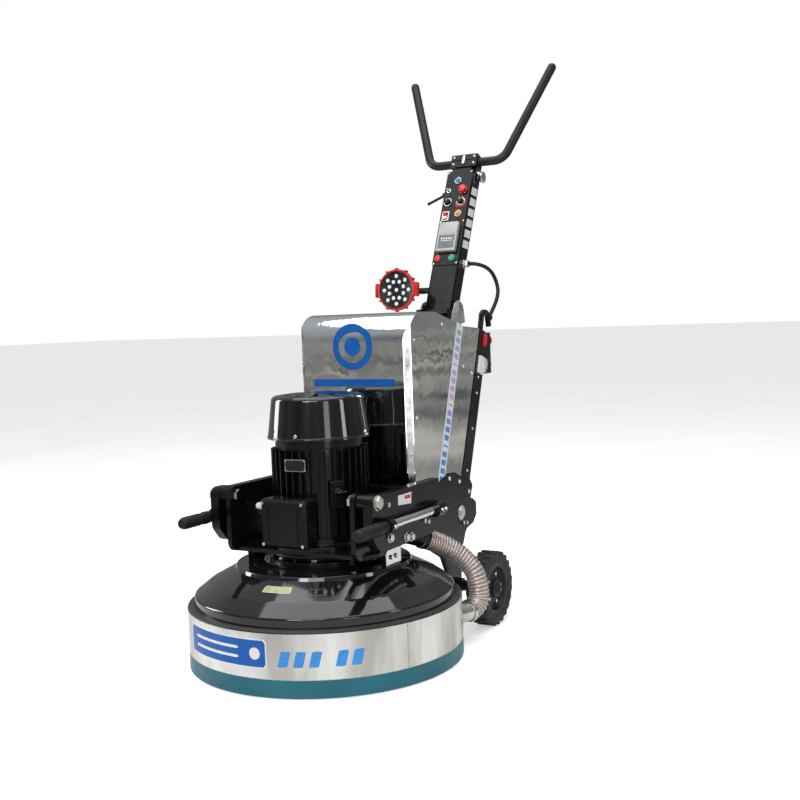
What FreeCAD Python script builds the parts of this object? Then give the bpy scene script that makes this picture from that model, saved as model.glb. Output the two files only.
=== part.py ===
"""Walk-behind planetary concrete grinder, 800 mm working width, four grinding heads.

Millimetres, +Z up. The machine's front faces -Y and +X is its right side seen from the front.
The pieces are drawn about the grinding head's axis, standing on the floor, and every piece is
then placed by head_y, so that the origin lies at the middle of the machine's footprint.
Pieces of the control column are drawn in the column's own frame (z along it, y out of its back)
and placed by the column's lean.
"""
import FreeCAD, Part
import math
import os
from FreeCAD import Placement, Rotation, Vector

doc = FreeCAD.newDocument("ConcreteGrinder")
sheet = doc.addObject("Spreadsheet::Sheet", "Sizes")

SIZES = {
    # footprint
    "head_y": -420.95,
    # grinding head
    "shroud_radius": 420.0, "band_wall": 3.0, "band_low": 55.0, "band_high": 183.0,
    "skirt_wall": 8.0, "skirt_low": 3.0, "seal_high": 190.0, "cover_radius": 397.0,
    "cover_wall": 6.0, "cover_low": 185.0, "dome_top": 311.0,
    "orbit_radius": 255.0, "disc_radius": 135.0, "spindle_radius": 29.95,
    "gear_module": 7.5, "sun_teeth": 44, "planet_teeth": 24, "ring_teeth": 92,
    "gear_low": 192.0, "gear_width": 30.0, "carrier_radius": 383.0, "carrier_low": 150.0,
    "carrier_thick": 24.0,
    # drive motor
    "bell_radius": 165.0, "yoke_low": 341.0, "yoke_thick": 12.0, "flange_radius": 160.0,
    "core_radius": 128.0, "fin_radius": 148.0, "fin_count": 36,
    "fin_thick": 4.0, "stator_bore": 97.0, "rotor_radius": 95.0, "motor_top": 684.0,
    "cowl_radius": 156.0, "cowl_top": 806.0, "cowl_wall": 2.5, "shaft_radius": 24.0,
    # terminal box
    "box_half": 80.0, "box_low": 372.0, "box_high": 516.0, "box_front": 196.0, "lid_thick": 14.0,
    "box_seat": 130.0,
    # head pivot, yoke and arms
    "pivot_y": -151.0, "pivot_z": 512.0, "pin_radius": 12.0, "ear_inner": 213.0,
    "ear_outer": 228.0, "arm_inner": 257.0, "arm_outer": 287.0, "arm_low": 366.0,
    "arm_high": 530.0, "boss_radius": 28.0,
    # carry handles
    "handle_x": 306.0, "handle_z": 443.0, "guide_radius": 13.5, "guide_bore": 10.5,
    "rod_radius": 10.4, "grip_radius": 18.0, "grip_tip": -297.0, "handle_flange": -177.0,
    "guide_front": -136.0, "guide_rear": 188.0,
    # chassis
    "side_inner": 188.0, "side_outer": 200.0, "beam_front": 178.0, "beam_back": 210.0,
    "beam_low": 411.0, "beam_high": 500.0, "tray_thick": 6.0, "axle_y": 498.0, "axle_radius": 12.0,
    "post_inner": 165.0, "post_outer": 205.0, "post_depth": 66.0, "post_lean": 20.0,
    # wheels
    "wheel_radius": 124.0, "wheel_inner": 290.0, "wheel_outer": 355.0, "rim_radius": 82.0,
    # cabinet cover
    "cabinet_half": 205.0, "cabinet_bevel": 20.0, "cabinet_front": 212.0, "cabinet_wall": 2.0,
    # control column and handlebar
    "column_y": 813.0, "column_z": 1070.0, "column_lean": 24.2, "column_half": 54.0,
    "column_depth": 66.0, "column_wall": 4.0, "column_high": 556.0, "column_low": -30.0,
    "bar_radius": 16.5, "bar_s": 605.0, "bar_half": 153.0, "horn_x": 295.0, "horn_s": 985.0,
    "bar_bend": 55.0, "hinge_ear": 57.0, "plate_thick": 3.0,
    # dust system
    "hose_radius": 34.0, "pipe_radius": 31.5, "pipe_bore": 29.0, "port_z": 100.0,
    "outlet_radius": 35.0, "outlet_length": 60.0,
    "cable_radius": 7.0,
}
for row, (alias, value) in enumerate(SIZES.items(), start=1):
    sheet.set(f"A{row}", alias)
    sheet.set(f"B{row}", str(value))
    sheet.setAlias(f"B{row}", alias)
doc.recompute()

# routes through the air, about the head's axis
PORT_HEADING = (math.sin(math.radians(20)), math.cos(math.radians(20)), 0.0)
HOSE_END_HEADING = (-0.3103, -0.8791, 0.3620)
CABLE_END_HEADING = (0.0, -0.7682, -0.6402)


def onward(point, heading, distance):
    """The point a distance on from another along a heading."""
    return tuple(at + step * distance for at, step in zip(point, heading))


PORT_MOUTH = (344, 284, 100)
HOSE_END = (224, 214, 342)
CABLE_END = (184, 860.5, 1024)
HOSE_ROUTE = [PORT_MOUTH, onward(PORT_MOUTH, PORT_HEADING, 57.44), (358, 338, 202), (320, 330, 256),
              (274, 302, 298), onward(HOSE_END, HOSE_END_HEADING, -38.7), HOSE_END]
HOSE_RADII = (56, 110, 160, 130, 90)
PIPE_ROUTE = [HOSE_END, onward(HOSE_END, HOSE_END_HEADING, 40.95), (110, 178, 362), (110, 612, 362)]
CABLE_ROUTE = [(76, 925.004, 1219.199), (112, 925.004, 1219.199), (140, 985, 1194), (158, 1002, 1130),
               (172, 958, 1088), onward(CABLE_END, CABLE_END_HEADING, -50), CABLE_END]

LIGHT_PIVOT = (-14.0, 66.0)

NODES = []


def size(alias):
    """Read one driving dimension back from the sheet."""
    return float(sheet.get(alias))


def floor_place():
    """Placement of a piece drawn about the head's axis."""
    return Placement(Vector(0, size("head_y"), 0), Rotation())


def column_place():
    """Placement of a piece drawn in the column's own frame."""
    foot = Vector(0, size("column_y") + size("head_y"), size("column_z"))
    return Placement(foot, Rotation(Vector(1, 0, 0), -size("column_lean")))


def keep(item, label, place):
    """Name a finished sub-part, place it and list it for export."""
    item.Label = label
    item.Placement = place
    NODES.append(item)
    return item


def new_body(label, place=None):
    """Start a PartDesign body that becomes one node."""
    body = doc.addObject("PartDesign::Body", label)
    return keep(body, label, place or floor_place())


def sketch_on(body, role, name, offset=0.0):
    """Attach a sketch to one of the body's own origin planes."""
    sketch = body.newObject("Sketcher::SketchObject", name)
    plane = next(item for item in body.Origin.OriginFeatures if item.Role == role)
    sketch.AttachmentSupport = (plane, [""])
    sketch.MapMode = "FlatFace"
    sketch.AttachmentOffset = Placement(Vector(0, 0, offset), Rotation())
    return sketch


def corner_edges(points):
    """Lines and tangent arcs of a closed outline; a point may carry a corner radius."""
    corners = []
    count = len(points)
    for index, point in enumerate(points):
        here = Vector(point[0], point[1], 0)
        radius = point[2] if len(point) > 2 else 0.0
        before = Vector(*points[index - 1][:2], 0)
        after = Vector(*points[(index + 1) % count][:2], 0)
        back = (before - here).normalize()
        ahead = (after - here).normalize()
        if radius <= 0:
            corners.append((here, None, here))
            continue
        half = back.getAngle(ahead) / 2
        reach = radius / math.tan(half)
        bisector = (back + ahead).normalize()
        middle = here + bisector * (radius / math.sin(half) - radius)
        corners.append((here + back * reach, middle, here + ahead * reach))
    edges = []
    for index, (start, middle, end) in enumerate(corners):
        if middle is not None:
            edges.append(Part.Arc(start, middle, end))
        following = corners[(index + 1) % count][0]
        if (following - end).Length > 1e-6:
            edges.append(Part.LineSegment(end, following))
    return edges


def draw(sketch, points):
    """Add one closed outline to a sketch."""
    sketch.addGeometry(corner_edges(points), False)


def rectangle(low_u, low_v, high_u, high_v, radius=0.0):
    """Corner points of an upright rectangle."""
    return [(low_u, low_v, radius), (high_u, low_v, radius), (high_u, high_v, radius),
            (low_u, high_v, radius)]


def pad(body, sketch, length, name, reverse=False):
    """Pad a sketch by a number, or by a sheet alias or formula."""
    feature = body.newObject("PartDesign::Pad", name)
    feature.Profile = sketch
    feature.Reversed = reverse
    bind_length(feature, length)
    doc.recompute()
    return feature


def pocket(body, sketch, length, name, reverse=False):
    """Cut a pocket and make sure that it removed something."""
    before = body.Shape.Volume
    feature = body.newObject("PartDesign::Pocket", name)
    feature.Profile = sketch
    feature.Reversed = reverse
    bind_length(feature, length)
    doc.recompute()
    if body.Shape.Volume > before - 1e-3:
        raise RuntimeError(f"pocket {name} of {body.Label} cuts nothing")
    return feature


def bind_length(feature, length):
    """Set a feature's length, bound to the sheet when it is given as a formula."""
    if isinstance(length, str):
        feature.setExpression("Length", length)
    else:
        feature.Length = length


def revolve(body, sketch, name):
    """Turn a profile drawn on the XZ plane about the body's vertical axis."""
    feature = body.newObject("PartDesign::Revolution", name)
    feature.Profile = sketch
    feature.ReferenceAxis = (sketch, ["V_Axis"])
    feature.Angle = 360
    doc.recompute()
    return feature


def around(body, feature, count, name):
    """Repeat a feature evenly about the body's vertical axis."""
    pattern = body.newObject("PartDesign::PolarPattern", name)
    pattern.Originals = [feature]
    axis = next(item for item in body.Origin.OriginFeatures if item.Role == "Z_Axis")
    pattern.Axis = (axis, [""])
    pattern.Angle = 360
    pattern.Occurrences = int(count)
    body.Tip = pattern
    doc.recompute()
    return pattern


def turned(label, profile, place=None):
    """A body of revolution about its own z axis from one (radius, height) profile."""
    body = new_body(label, place)
    sketch = sketch_on(body, "XZ_Plane", label + "_profile")
    draw(sketch, profile)
    revolve(body, sketch, label + "_turn")
    return body


def primitive(kind, name, base, direction=None, **sizes):
    """A Part primitive; sizes given as text are bound to the sheet."""
    item = doc.addObject(kind, name)
    for key, value in sizes.items():
        if isinstance(value, str):
            item.setExpression(key, value)
        else:
            setattr(item, key, value)
    turn = Rotation(Vector(0, 0, 1), Vector(*direction)) if direction else Rotation()
    item.Placement = Placement(Vector(*base), turn)
    return item


def cylinder(name, base, direction, radius, height):
    """A round bar from base along direction."""
    return primitive("Part::Cylinder", name, base, direction, Radius=radius, Height=height)


def box(name, low, high):
    """A block between two corners."""
    length, width, height = (high[axis] - low[axis] for axis in range(3))
    return primitive("Part::Box", name, low, Length=length, Width=width, Height=height)


def hexagon(name, base, direction, across, height):
    """A hexagon head of the given width across its corners."""
    return primitive("Part::Prism", name, base, direction, Polygon=6, Circumradius=across / 2,
                     Height=height)


def fused(label, items, place=None):
    """Weld several Part objects into one node."""
    item = doc.addObject("Part::MultiFuse", label)
    item.Shapes = items
    return keep(item, label, place or floor_place())


def cut(name, base, tool):
    """Take one Part object out of another."""
    item = doc.addObject("Part::Cut", name)
    item.Base = base
    item.Tool = tool
    return item


def grouped(label, items, place=None):
    """Several separate solids that share one node."""
    item = doc.addObject("Part::Compound", label)
    item.Links = items
    return keep(item, label, place or floor_place())


def shaped(label, shape, place=None):
    """A node whose shape is computed with Part's own functions."""
    item = doc.addObject("Part::Feature", label)
    item.Shape = shape
    return keep(item, label, (place or floor_place()).multiply(shape.Placement))


# ---------------------------------------------------------------- gears

def gear_profile(teeth, module, inside=False):
    """Corner points of a spur gear, tooth centred on angle 0; a ring gear's tooth gap is there."""
    pitch = teeth * module / 2
    pressure = math.radians(20)
    base = pitch * math.cos(pressure)
    play = 0.35 / pitch
    half_tooth = math.pi / (2 * teeth) + (play if inside else -play)
    roll = math.tan(pressure) - pressure
    tip = pitch + module * (1.2 if inside else 0.92)
    root = pitch - module * (0.92 if inside else 1.2)
    flank = [max(root, base + 0.2), pitch - module * 0.35, pitch, pitch + module * 0.45, tip]
    rising = []
    for radius in flank:
        if radius < base:
            continue
        turn = math.acos(min(1.0, base / radius))
        spread = half_tooth + roll - (math.tan(turn) - turn)
        rising.append((radius, spread))
    if rising[0][0] > root + 0.5:
        rising.insert(0, (root, rising[0][1]))
    points = []
    for tooth in range(teeth):
        centre = 2 * math.pi * tooth / teeth
        for radius, spread in rising:
            points.append((radius, centre - spread))
        for radius, spread in reversed(rising):
            points.append((radius, centre + spread))
    return [Vector(r * math.cos(a), r * math.sin(a), 0) for r, a in points]


def gear_solid(teeth, turn, inside_of=None):
    """A spur gear blank cut to its tooth outline; inside_of gives a ring gear's outer radius."""
    outline = gear_profile(teeth, size("gear_module"), inside_of is not None)
    face = Part.Face(Part.makePolygon(outline + outline[:1]))
    if inside_of is not None:
        rim = Part.Face(Part.Wire(Part.makeCircle(inside_of)))
        face = rim.cut(face)
    solid = face.extrude(Vector(0, 0, size("gear_width")))
    solid.rotate(Vector(), Vector(0, 0, 1), turn)
    solid.translate(Vector(0, 0, size("gear_low")))
    return solid if solid.ShapeType == "Solid" else solid.Solids[0]


def make_gear_train():
    """Sun gear, fixed ring gear and the four pinion spindles, meshed at rest."""
    sun_teeth = int(size("sun_teeth"))
    planet_teeth = int(size("planet_teeth"))
    ring_teeth = int(size("ring_teeth"))
    low = size("gear_low")
    sun = gear_solid(sun_teeth, 0)
    hub = Part.makeCylinder(45, 22, Vector(0, 0, low + size("gear_width")))
    bore = Part.makeCylinder(size("shaft_radius"), 200, Vector(0, 0, low - 20))
    shaped("sun_gear", sun.fuse(hub).cut(bore).removeSplitter().Solids[0])

    planet_turn = 180.0 + 180.0 / planet_teeth
    ring_turn = 0.0 if planet_teeth % 2 else 180.0 / ring_teeth
    shaped("ring_gear", gear_solid(ring_teeth, ring_turn, inside_of=373.0))

    orbit = size("orbit_radius")
    for index in range(4):
        angle = 90.0 * index + 45.0
        pinion = gear_solid(planet_teeth, 0)
        shaft = Part.makeCylinder(size("spindle_radius"), low - 100, Vector(0, 0, 100))
        foot = Part.makeCylinder(68, 12, Vector(0, 0, 100))
        spindle = pinion.fuse([shaft, foot]).removeSplitter().Solids[0]
        turn = mesh_turn(angle, sun_teeth, planet_teeth) + planet_turn
        spindle.rotate(Vector(), Vector(0, 0, 1), turn)
        away = Rotation(Vector(0, 0, 1), angle).multVec(Vector(orbit, 0, 0))
        spindle.translate(away)
        shaped(f"planet_spindle_{index + 1}", spindle)


def mesh_turn(angle, sun_teeth, planet_teeth):
    """Turn that keeps a planet in mesh when it stands at another angle round the sun."""
    return angle * (sun_teeth + planet_teeth) / planet_teeth


def make_grinding_discs():
    """Four tool discs, each with a rubber coupling's height above it and three diamond shoes."""
    radius = size("disc_radius")
    profile = [(0, 100), (46, 100), (46, 56), (60, 48), (60, 32), (96, 26), (radius, 26),
               (radius, 14), (0, 14)]
    for index in range(4):
        angle = math.radians(90.0 * index + 45.0)
        centre = Vector(size("orbit_radius") * math.cos(angle),
                        size("orbit_radius") * math.sin(angle) + size("head_y"), 0)
        turn = Rotation(Vector(0, 0, 1), 90.0 * index + 45.0)
        body = turned(f"grinding_disc_{index + 1}", profile, Placement(centre, turn))
        shoe = sketch_on(body, "XY_Plane", f"shoe_{index + 1}")
        draw(shoe, [(88, -30, 4), (126, -20, 4), (126, 20, 4), (88, 30, 4)])
        block = pad(body, shoe, 15.0, f"shoe_pad_{index + 1}")
        around(body, block, 3, f"shoes_{index + 1}")


def make_carrier():
    """Rotating carrier plate with four spindle bearings."""
    low = size("carrier_low")
    high = low + size("carrier_thick")
    body = turned("carrier_plate", [(20.05, low - 4), (62, low - 4), (70, low),
                                    (size("carrier_radius"), low), (size("carrier_radius"), high),
                                    (70, high), (62, high + 12), (20.05, high + 12)])
    hole = sketch_on(body, "XY_Plane", "bearing_seat", low - 1)
    at = size("orbit_radius") / math.sqrt(2)
    hole.addGeometry(Part.Circle(Vector(at, at, 0), Vector(0, 0, 1), 55.0))
    seat = pocket(body, hole, size("carrier_thick") + 2, "bearing_bore", reverse=True)
    around(body, seat, 4, "bearing_bores")
    rings = []
    for index in range(4):
        angle = math.radians(90.0 * index + 45.0)
        base = (size("orbit_radius") * math.cos(angle), size("orbit_radius") * math.sin(angle), low)
        outer = cylinder(f"bearing_outer_{index}", base, (0, 0, 1), 55.0, "Sizes.carrier_thick")
        inner = cylinder(f"bearing_bore_{index}", base, (0, 0, 1), 30.0, "Sizes.carrier_thick")
        rings.append(cut(f"bearing_{index}", outer, inner))
    grouped("spindle_bearings", rings)


# ---------------------------------------------------------------- shroud and head

def make_shroud():
    """Floating steel band with its rubber skirt and rim seal."""
    outer = size("shroud_radius")
    inner = outer - size("band_wall")
    low = size("band_low")
    high = size("band_high")
    band = turned("shroud_band", [(inner, low), (outer, low), (outer, high), (402, high),
                                  (402, high - 3), (inner, high - 3)])
    window = sketch_on(band, "XZ_Plane", "port_window", -200.0)
    draw(window, rectangle(276, 57, 366, 136, 20))
    pocket(band, window, 160.0, "port_window_cut")

    rubber = outer - size("skirt_wall")
    tongue = inner - 0.3
    turned("shroud_skirt", [(rubber, size("skirt_low")), (outer - 2, size("skirt_low")),
                            (outer, size("skirt_low") + 2), (outer, low), (tongue, low),
                            (tongue, low + 0.9), (rubber - 1, low + 0.9)])
    top = size("seal_high")
    turned("rim_seal", [(397.6, high), (418, high), (418.5, high + 4, 2), (413, top, 3),
                        (397.6, top)])


def make_head_cover():
    """Domed pressed cover of the grinding head, open below."""
    outer = size("cover_radius")
    wall = size("cover_wall")
    low = size("cover_low")
    top = size("dome_top")
    turned("head_cover", [(outer - wall, low), (outer, low), (outer, 218, 9), (351, 252, 60),
                          (270, 293), (266, 304, 3), (216, 304), (190, top), (120, top),
                          (120, top - wall), (188, top - wall), (214, 304 - wall), (262, 304 - wall),
                          (266, 286), (347, 246, 60), (outer - wall, 214, 6)])


def make_bell_housing():
    """Flanged adaptor between the head cover and the motor."""
    low = size("dome_top")
    high = size("yoke_low")
    outer = size("bell_radius")
    body = turned("bell_housing", [(100, low), (outer, low), (outer, low + 10, 2), (138, low + 12, 4),
                                   (138, high - 10, 4), (158, high - 8, 2), (158, high), (100, high)])
    rib = sketch_on(body, "XZ_Plane", "bell_rib", -4.0)
    draw(rib, [(130, low + 8), (158, low + 8), (150, high - 6), (130, high - 6)])
    web = pad(body, rib, 8.0, "bell_rib_pad")
    around(body, web, 8, "bell_ribs")


def make_yoke():
    """Saddle bolted on the bell housing, with two ears that hang on the arm pivots."""
    low = size("yoke_low")
    thick = size("yoke_thick")
    half = 250.0
    inner = size("ear_inner")
    outer = size("ear_outer")
    body = new_body("head_yoke")
    plan = sketch_on(body, "XY_Plane", "yoke_plan", low)
    draw(plan, [(-half, -90, 12), (-outer, -150, 12), (outer, -150, 12), (half, -90, 12),
                (half, 45, 12), (outer, 62, 20), (-outer, 62, 20), (-half, 45, 12)])
    pad(body, plan, "Sizes.yoke_thick", "yoke_plate")
    hole = sketch_on(body, "XY_Plane", "yoke_hole", low)
    hole.addGeometry(Part.Circle(Vector(0, 0, 0), Vector(0, 0, 1), 120.0))
    pocket(body, hole, thick + 2, "yoke_bore", reverse=True)
    boss = size("boss_radius")
    py = size("pivot_y")
    pz = size("pivot_z")
    for side, offset in (("left", -outer), ("right", inner)):
        ear = sketch_on(body, "YZ_Plane", f"{side}_ear", offset)
        draw(ear, [(py - boss, low, 30), (py - boss, pz + boss, boss - 1),
                   (py + boss, pz + boss, boss - 1), (py + boss, pz - 10, 40), (40, low + 40, 30),
                   (60, low)])
        pad(body, ear, outer - inner, f"{side}_ear_pad")
        eye = sketch_on(body, "YZ_Plane", f"{side}_eye", offset - 1)
        eye.addGeometry(Part.Circle(Vector(py, pz, 0), Vector(0, 0, 1), size("pin_radius") + 0.05))
        pocket(body, eye, outer - inner + 2, f"{side}_eye_cut", reverse=True)
    stay_high = low - 304.0
    for side, offset in (("left", -half), ("right", half - 18)):
        stay = sketch_on(body, "XY_Plane", f"{side}_stay", 304.0)
        draw(stay, rectangle(offset, -44, offset + 18, 22))
        pad(body, stay, stay_high, f"{side}_stay_pad")


def make_motor():
    """Finned motor frame with its stator, closed by both end shields."""
    low = size("yoke_low") + size("yoke_thick")
    core = size("core_radius")
    flange = size("flange_radius")
    bore = size("stator_bore")
    top = size("motor_top")
    shaft = size("shaft_radius") + 0.05
    body = turned("motor_frame", [(shaft, low), (flange, low), (flange, low + 14), (core + 8, low + 16, 3),
                                  (core + 8, low + 34), (core, low + 36), (core, top - 30),
                                  (core + 6, top - 28), (core + 6, top), (shaft, top),
                                  (shaft, top - 14), (bore, top - 14), (bore, low + 22),
                                  (shaft, low + 22)])
    fin = sketch_on(body, "XZ_Plane", "motor_fin", -size("fin_thick") / 2)
    draw(fin, [(core - 4, low + 40), (size("fin_radius"), low + 40), (size("fin_radius"), top - 34),
               (core - 4, top - 34)])
    blade = pad(body, fin, "Sizes.fin_thick", "motor_fin_pad")
    around(body, blade, size("fin_count"), "motor_fins")
    seat = size("box_seat")
    face = sketch_on(body, "XZ_Plane", "terminal_seat", 100.0)
    draw(face, rectangle(-62, size("box_low") + 16, 62, size("box_high") - 16))
    pad(body, face, seat - 100.0, "terminal_seat_pad")
    room = sketch_on(body, "XZ_Plane", "terminal_room", 152.0)
    draw(room, rectangle(-62.3, size("box_low") + 15.7, 62.3, size("box_high") - 15.7))
    pocket(body, room, 152.0 - seat, "terminal_room_cut")


def make_fan_cowl():
    """Flared sheet cowl over the fan, with a crowned top and an air intake."""
    outer = size("cowl_radius")
    wall = size("cowl_wall")
    top = size("cowl_top")
    low = size("motor_top") - 4
    body = turned("fan_cowl", [(outer - wall, low), (outer, low), (outer - 3, low + 22),
                               (140, top, 14), (100, top + 5), (0, top + 6), (0, top + 6 - wall),
                               (100, top + 5 - wall), (140 - wall, top - wall, 12),
                               (outer - 3 - wall, low + 22)])
    slot = sketch_on(body, "XY_Plane", "intake_slot", top - 10)
    draw(slot, [(40, -5, 4), (112, -9, 4), (112, 9, 4), (40, 5, 4)])
    opening = pocket(body, slot, 30.0, "intake_cut", reverse=True)
    around(body, opening, 12, "intake_slots")


def make_rotor():
    """Motor shaft with the rotor pack, and the cooling fan on its top end."""
    shaft = size("shaft_radius")
    turned("rotor_shaft", [(0, 146), (20, 146), (20, 190), (shaft, 190), (shaft, 392), (60, 392),
                           (size("rotor_radius"), 430), (size("rotor_radius"), 620), (60, 640),
                           (shaft, 640), (shaft, 772), (0, 772)])
    fan = turned("cooling_fan", [(shaft, 706), (44, 706), (44, 716), (118, 716), (118, 720),
                                 (44, 720), (44, 764), (shaft, 764)])
    blade = sketch_on(fan, "XZ_Plane", "fan_blade", -2.0)
    draw(blade, [(40, 718), (116, 718), (124, 766), (40, 760)])
    vane = pad(fan, blade, 4.0, "fan_blade_pad")
    around(fan, vane, 9, "fan_blades")


def make_terminal_box():
    """Cast terminal box on the front of the motor, and its bevelled lid."""
    half = size("box_half")
    low = size("box_low")
    high = size("box_high")
    front = size("box_front")
    body = new_body("terminal_box")
    side = sketch_on(body, "XZ_Plane", "box_face", 152.0)
    draw(side, rectangle(-half, low, half, high, 10))
    pad(body, side, front - 152.0, "box_pad")
    neck = sketch_on(body, "XZ_Plane", "box_neck", size("box_seat"))
    draw(neck, rectangle(-62, low + 16, 62, high - 16, 8))
    pad(body, neck, 153.0 - size("box_seat"), "neck_pad")
    inside = sketch_on(body, "XZ_Plane", "box_inside", front)
    draw(inside, rectangle(-half + 8, low + 8, half - 8, high - 8, 6))
    pocket(body, inside, front - 158.0, "box_hollow", reverse=False)

    lid = new_body("terminal_lid")
    face = sketch_on(lid, "XZ_Plane", "lid_face", front)
    draw(face, rectangle(-half, low, half, high, 10))
    plate = pad(lid, face, "Sizes.lid_thick", "lid_pad")
    front_edges = [f"Edge{number}" for number, edge in enumerate(plate.Shape.Edges, start=1)
                   if abs(edge.BoundBox.YMax + front + size("lid_thick")) < 0.01
                   and edge.BoundBox.YLength < 0.01]
    bevel = lid.newObject("PartDesign::Chamfer", "lid_bevel")
    bevel.Base = (plate, front_edges)
    bevel.Size = 9.0
    doc.recompute()


def make_dust_port():
    """Steel stub on the head that draws dust out through the shroud's window."""
    outside = Vector(*PORT_MOUTH)
    inward = Vector(*PORT_HEADING) * -1
    length = 124.0
    tube = Part.makeCylinder(size("pipe_radius"), length, outside, inward)
    hollow = Part.makeCylinder(size("pipe_bore"), length + 2, outside - inward, inward)
    rim = outside + inward * 63.0
    bearing = math.degrees(math.atan2(rim.y, rim.x))
    low = size("port_z") + size("pipe_bore") + 0.5
    hanger = Part.makeBox(7.0, 26, size("cover_low") - low, Vector(389.0, -13, low))
    hanger.rotate(Vector(), Vector(0, 0, 1), bearing)
    shaped("dust_port", tube.cut(hollow).fuse(hanger.cut(hollow)).removeSplitter().Solids[0])


# ---------------------------------------------------------------- chassis

def make_arm_frame():
    """Two deep arms welded to the front beam and the cabinet tray, with the handle collars."""
    body = new_body("arm_frame")
    beam = sketch_on(body, "YZ_Plane", "beam_section", -size("arm_inner"))
    draw(beam, rectangle(size("beam_front"), size("beam_low"), size("beam_back"), size("beam_high")))
    pad(body, beam, "2 * Sizes.arm_inner", "beam_pad")
    tray = sketch_on(body, "XY_Plane", "tray_plan", size("beam_low") - size("tray_thick"))
    inner = size("side_inner")
    draw(tray, rectangle(-inner, size("beam_front"), inner, 512))
    pad(body, tray, "Sizes.tray_thick", "tray_pad")
    py = size("pivot_y")
    pz = size("pivot_z")
    low = size("arm_low")
    high = size("arm_high")
    thick = size("arm_outer") - size("arm_inner")
    collar_low = size("handle_z") - 22
    collar_high = size("handle_z") + 22
    for side, sign in (("left", -1), ("right", 1)):
        offset = size("arm_inner") if sign > 0 else -size("arm_outer")
        arm = sketch_on(body, "YZ_Plane", f"{side}_arm", offset)
        draw(arm, [(py - 28, low + 46, 34), (py - 28, high + 6, 27), (py + 30, high + 6, 16),
                   (py + 64, high, 12), (228, high), (228, 404, 10), (180, low, 14),
                   (py + 12, low, 40)])
        pad(body, arm, thick, f"{side}_arm_pad")
        boss = sketch_on(body, "YZ_Plane", f"{side}_boss", offset - 26 if sign > 0 else offset + thick)
        boss.addGeometry(Part.Circle(Vector(py, pz, 0), Vector(0, 0, 1), 24.0))
        pad(body, boss, 26.0, f"{side}_boss_pad")
        eye = sketch_on(body, "YZ_Plane", f"{side}_arm_eye", -300.0 if sign < 0 else 220.0)
        eye.addGeometry(Part.Circle(Vector(py, pz, 0), Vector(0, 0, 1), size("pin_radius")))
        pocket(body, eye, 80.0, f"{side}_arm_eye_cut", reverse=True)
        near = size("arm_outer") - 21 if sign > 0 else -size("arm_outer") - 44
        for name, start, length in (("collar", size("guide_front") - 4, 24), ("clamp", 150, 44)):
            block = sketch_on(body, "XZ_Plane", f"{side}_{name}", -start - length)
            draw(block, rectangle(near, collar_low, near + 65, collar_high, 21))
            pad(body, block, float(length), f"{side}_{name}_pad")
        guide = sketch_on(body, "XZ_Plane", f"{side}_guide_bore", 145.0)
        guide.addGeometry(Part.Circle(Vector(sign * size("handle_x"), size("handle_z"), 0),
                                      Vector(0, 0, 1), size("guide_radius")))
        pocket(body, guide, 145.0 + size("guide_rear"), f"{side}_guide_cut")


def make_handle_guides():
    """Chrome guide tubes that the carry handles slide in."""
    tubes = []
    for side, sign in (("left", -1), ("right", 1)):
        base = (sign * size("handle_x"), size("guide_front") - 4, size("handle_z"))
        length = size("guide_rear") - base[1]
        outer = cylinder(f"{side}_guide", base, (0, 1, 0), "Sizes.guide_radius", length)
        inner = cylinder(f"{side}_guide_bore", base, (0, 1, 0), "Sizes.guide_bore", length)
        tubes.append(cut(f"{side}_guide_tube", outer, inner))
    grouped("handle_guides", tubes)


def make_carry_handles():
    """Sliding carry handles: rod, stop flange and grip, turned about the rod's axis."""
    grip = size("grip_radius")
    tip = size("grip_tip")
    stop = size("handle_flange")
    rear = 172.0
    for side, sign in (("left", -1), ("right", 1)):
        at = Vector(sign * size("handle_x"), size("head_y"), size("handle_z"))
        place = Placement(at, Rotation(Vector(1, 0, 0), -90))
        profile = [(0, tip), (grip - 4, tip, 4), (grip, tip + 10, 4), (grip - 1, stop - 30, 6),
                   (grip + 2, stop - 12, 4), (18.6, stop, 2), (18.6, stop + 8, 2), (17, stop + 9),
                   (17, size("guide_front") - 4.3), (size("rod_radius"), size("guide_front") - 4.3),
                   (size("rod_radius"), rear), (0, rear)]
        turned(f"{side}_carry_handle", profile, place)


def make_side_plates():
    """Chassis side plates that carry the cabinet, the rear frame and the axle."""
    outline = [(231, 415, 6), (231, 530, 12), (470, 530, 30), (500, 398), (640, 398, 10),
               (668, 380, 12), (668, 336, 12), (640, 311, 14), (585, 300, 40), (548, 232, 40),
               (532, 96, 34), (450, 90, 34), (436, 180, 40), (404, 236, 30), (340, 268, 40),
               (290, 330, 40), (272, 405, 20)]
    thick = size("side_outer") - size("side_inner")
    for side, offset in (("left", -size("side_outer")), ("right", size("side_inner"))):
        body = new_body(f"{side}_side_plate")
        face = sketch_on(body, "YZ_Plane", f"{side}_plate_face", offset)
        draw(face, outline)
        pad(body, face, thick, f"{side}_plate_pad")
        seat = sketch_on(body, "YZ_Plane", f"{side}_axle_seat", offset - 1)
        draw(seat, rectangle(size("axle_y") - 20, size("wheel_radius") - 20, size("axle_y") + 20,
                             size("wheel_radius") + 20))
        pocket(body, seat, thick + 2, f"{side}_axle_cut", reverse=True)


def make_axle():
    """Square axle beam with a round stub at each end."""
    at = (size("axle_y"), size("wheel_radius"))
    beam = box("axle_beam", (-222, at[0] - 20, at[1] - 20), (222, at[0] + 20, at[1] + 20))
    reach = size("wheel_outer") + 3
    stub = cylinder("axle_stub", (-reach, at[0], at[1]), (1, 0, 0), "Sizes.axle_radius", 2 * reach)
    collars = [cylinder(f"axle_collar_{side}", (sign * 222, at[0], at[1]), (sign, 0, 0), 18.0, 66.0)
               for side, sign in (("left", -1), ("right", 1))]
    fused("wheel_axle", [beam, stub] + collars)


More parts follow.
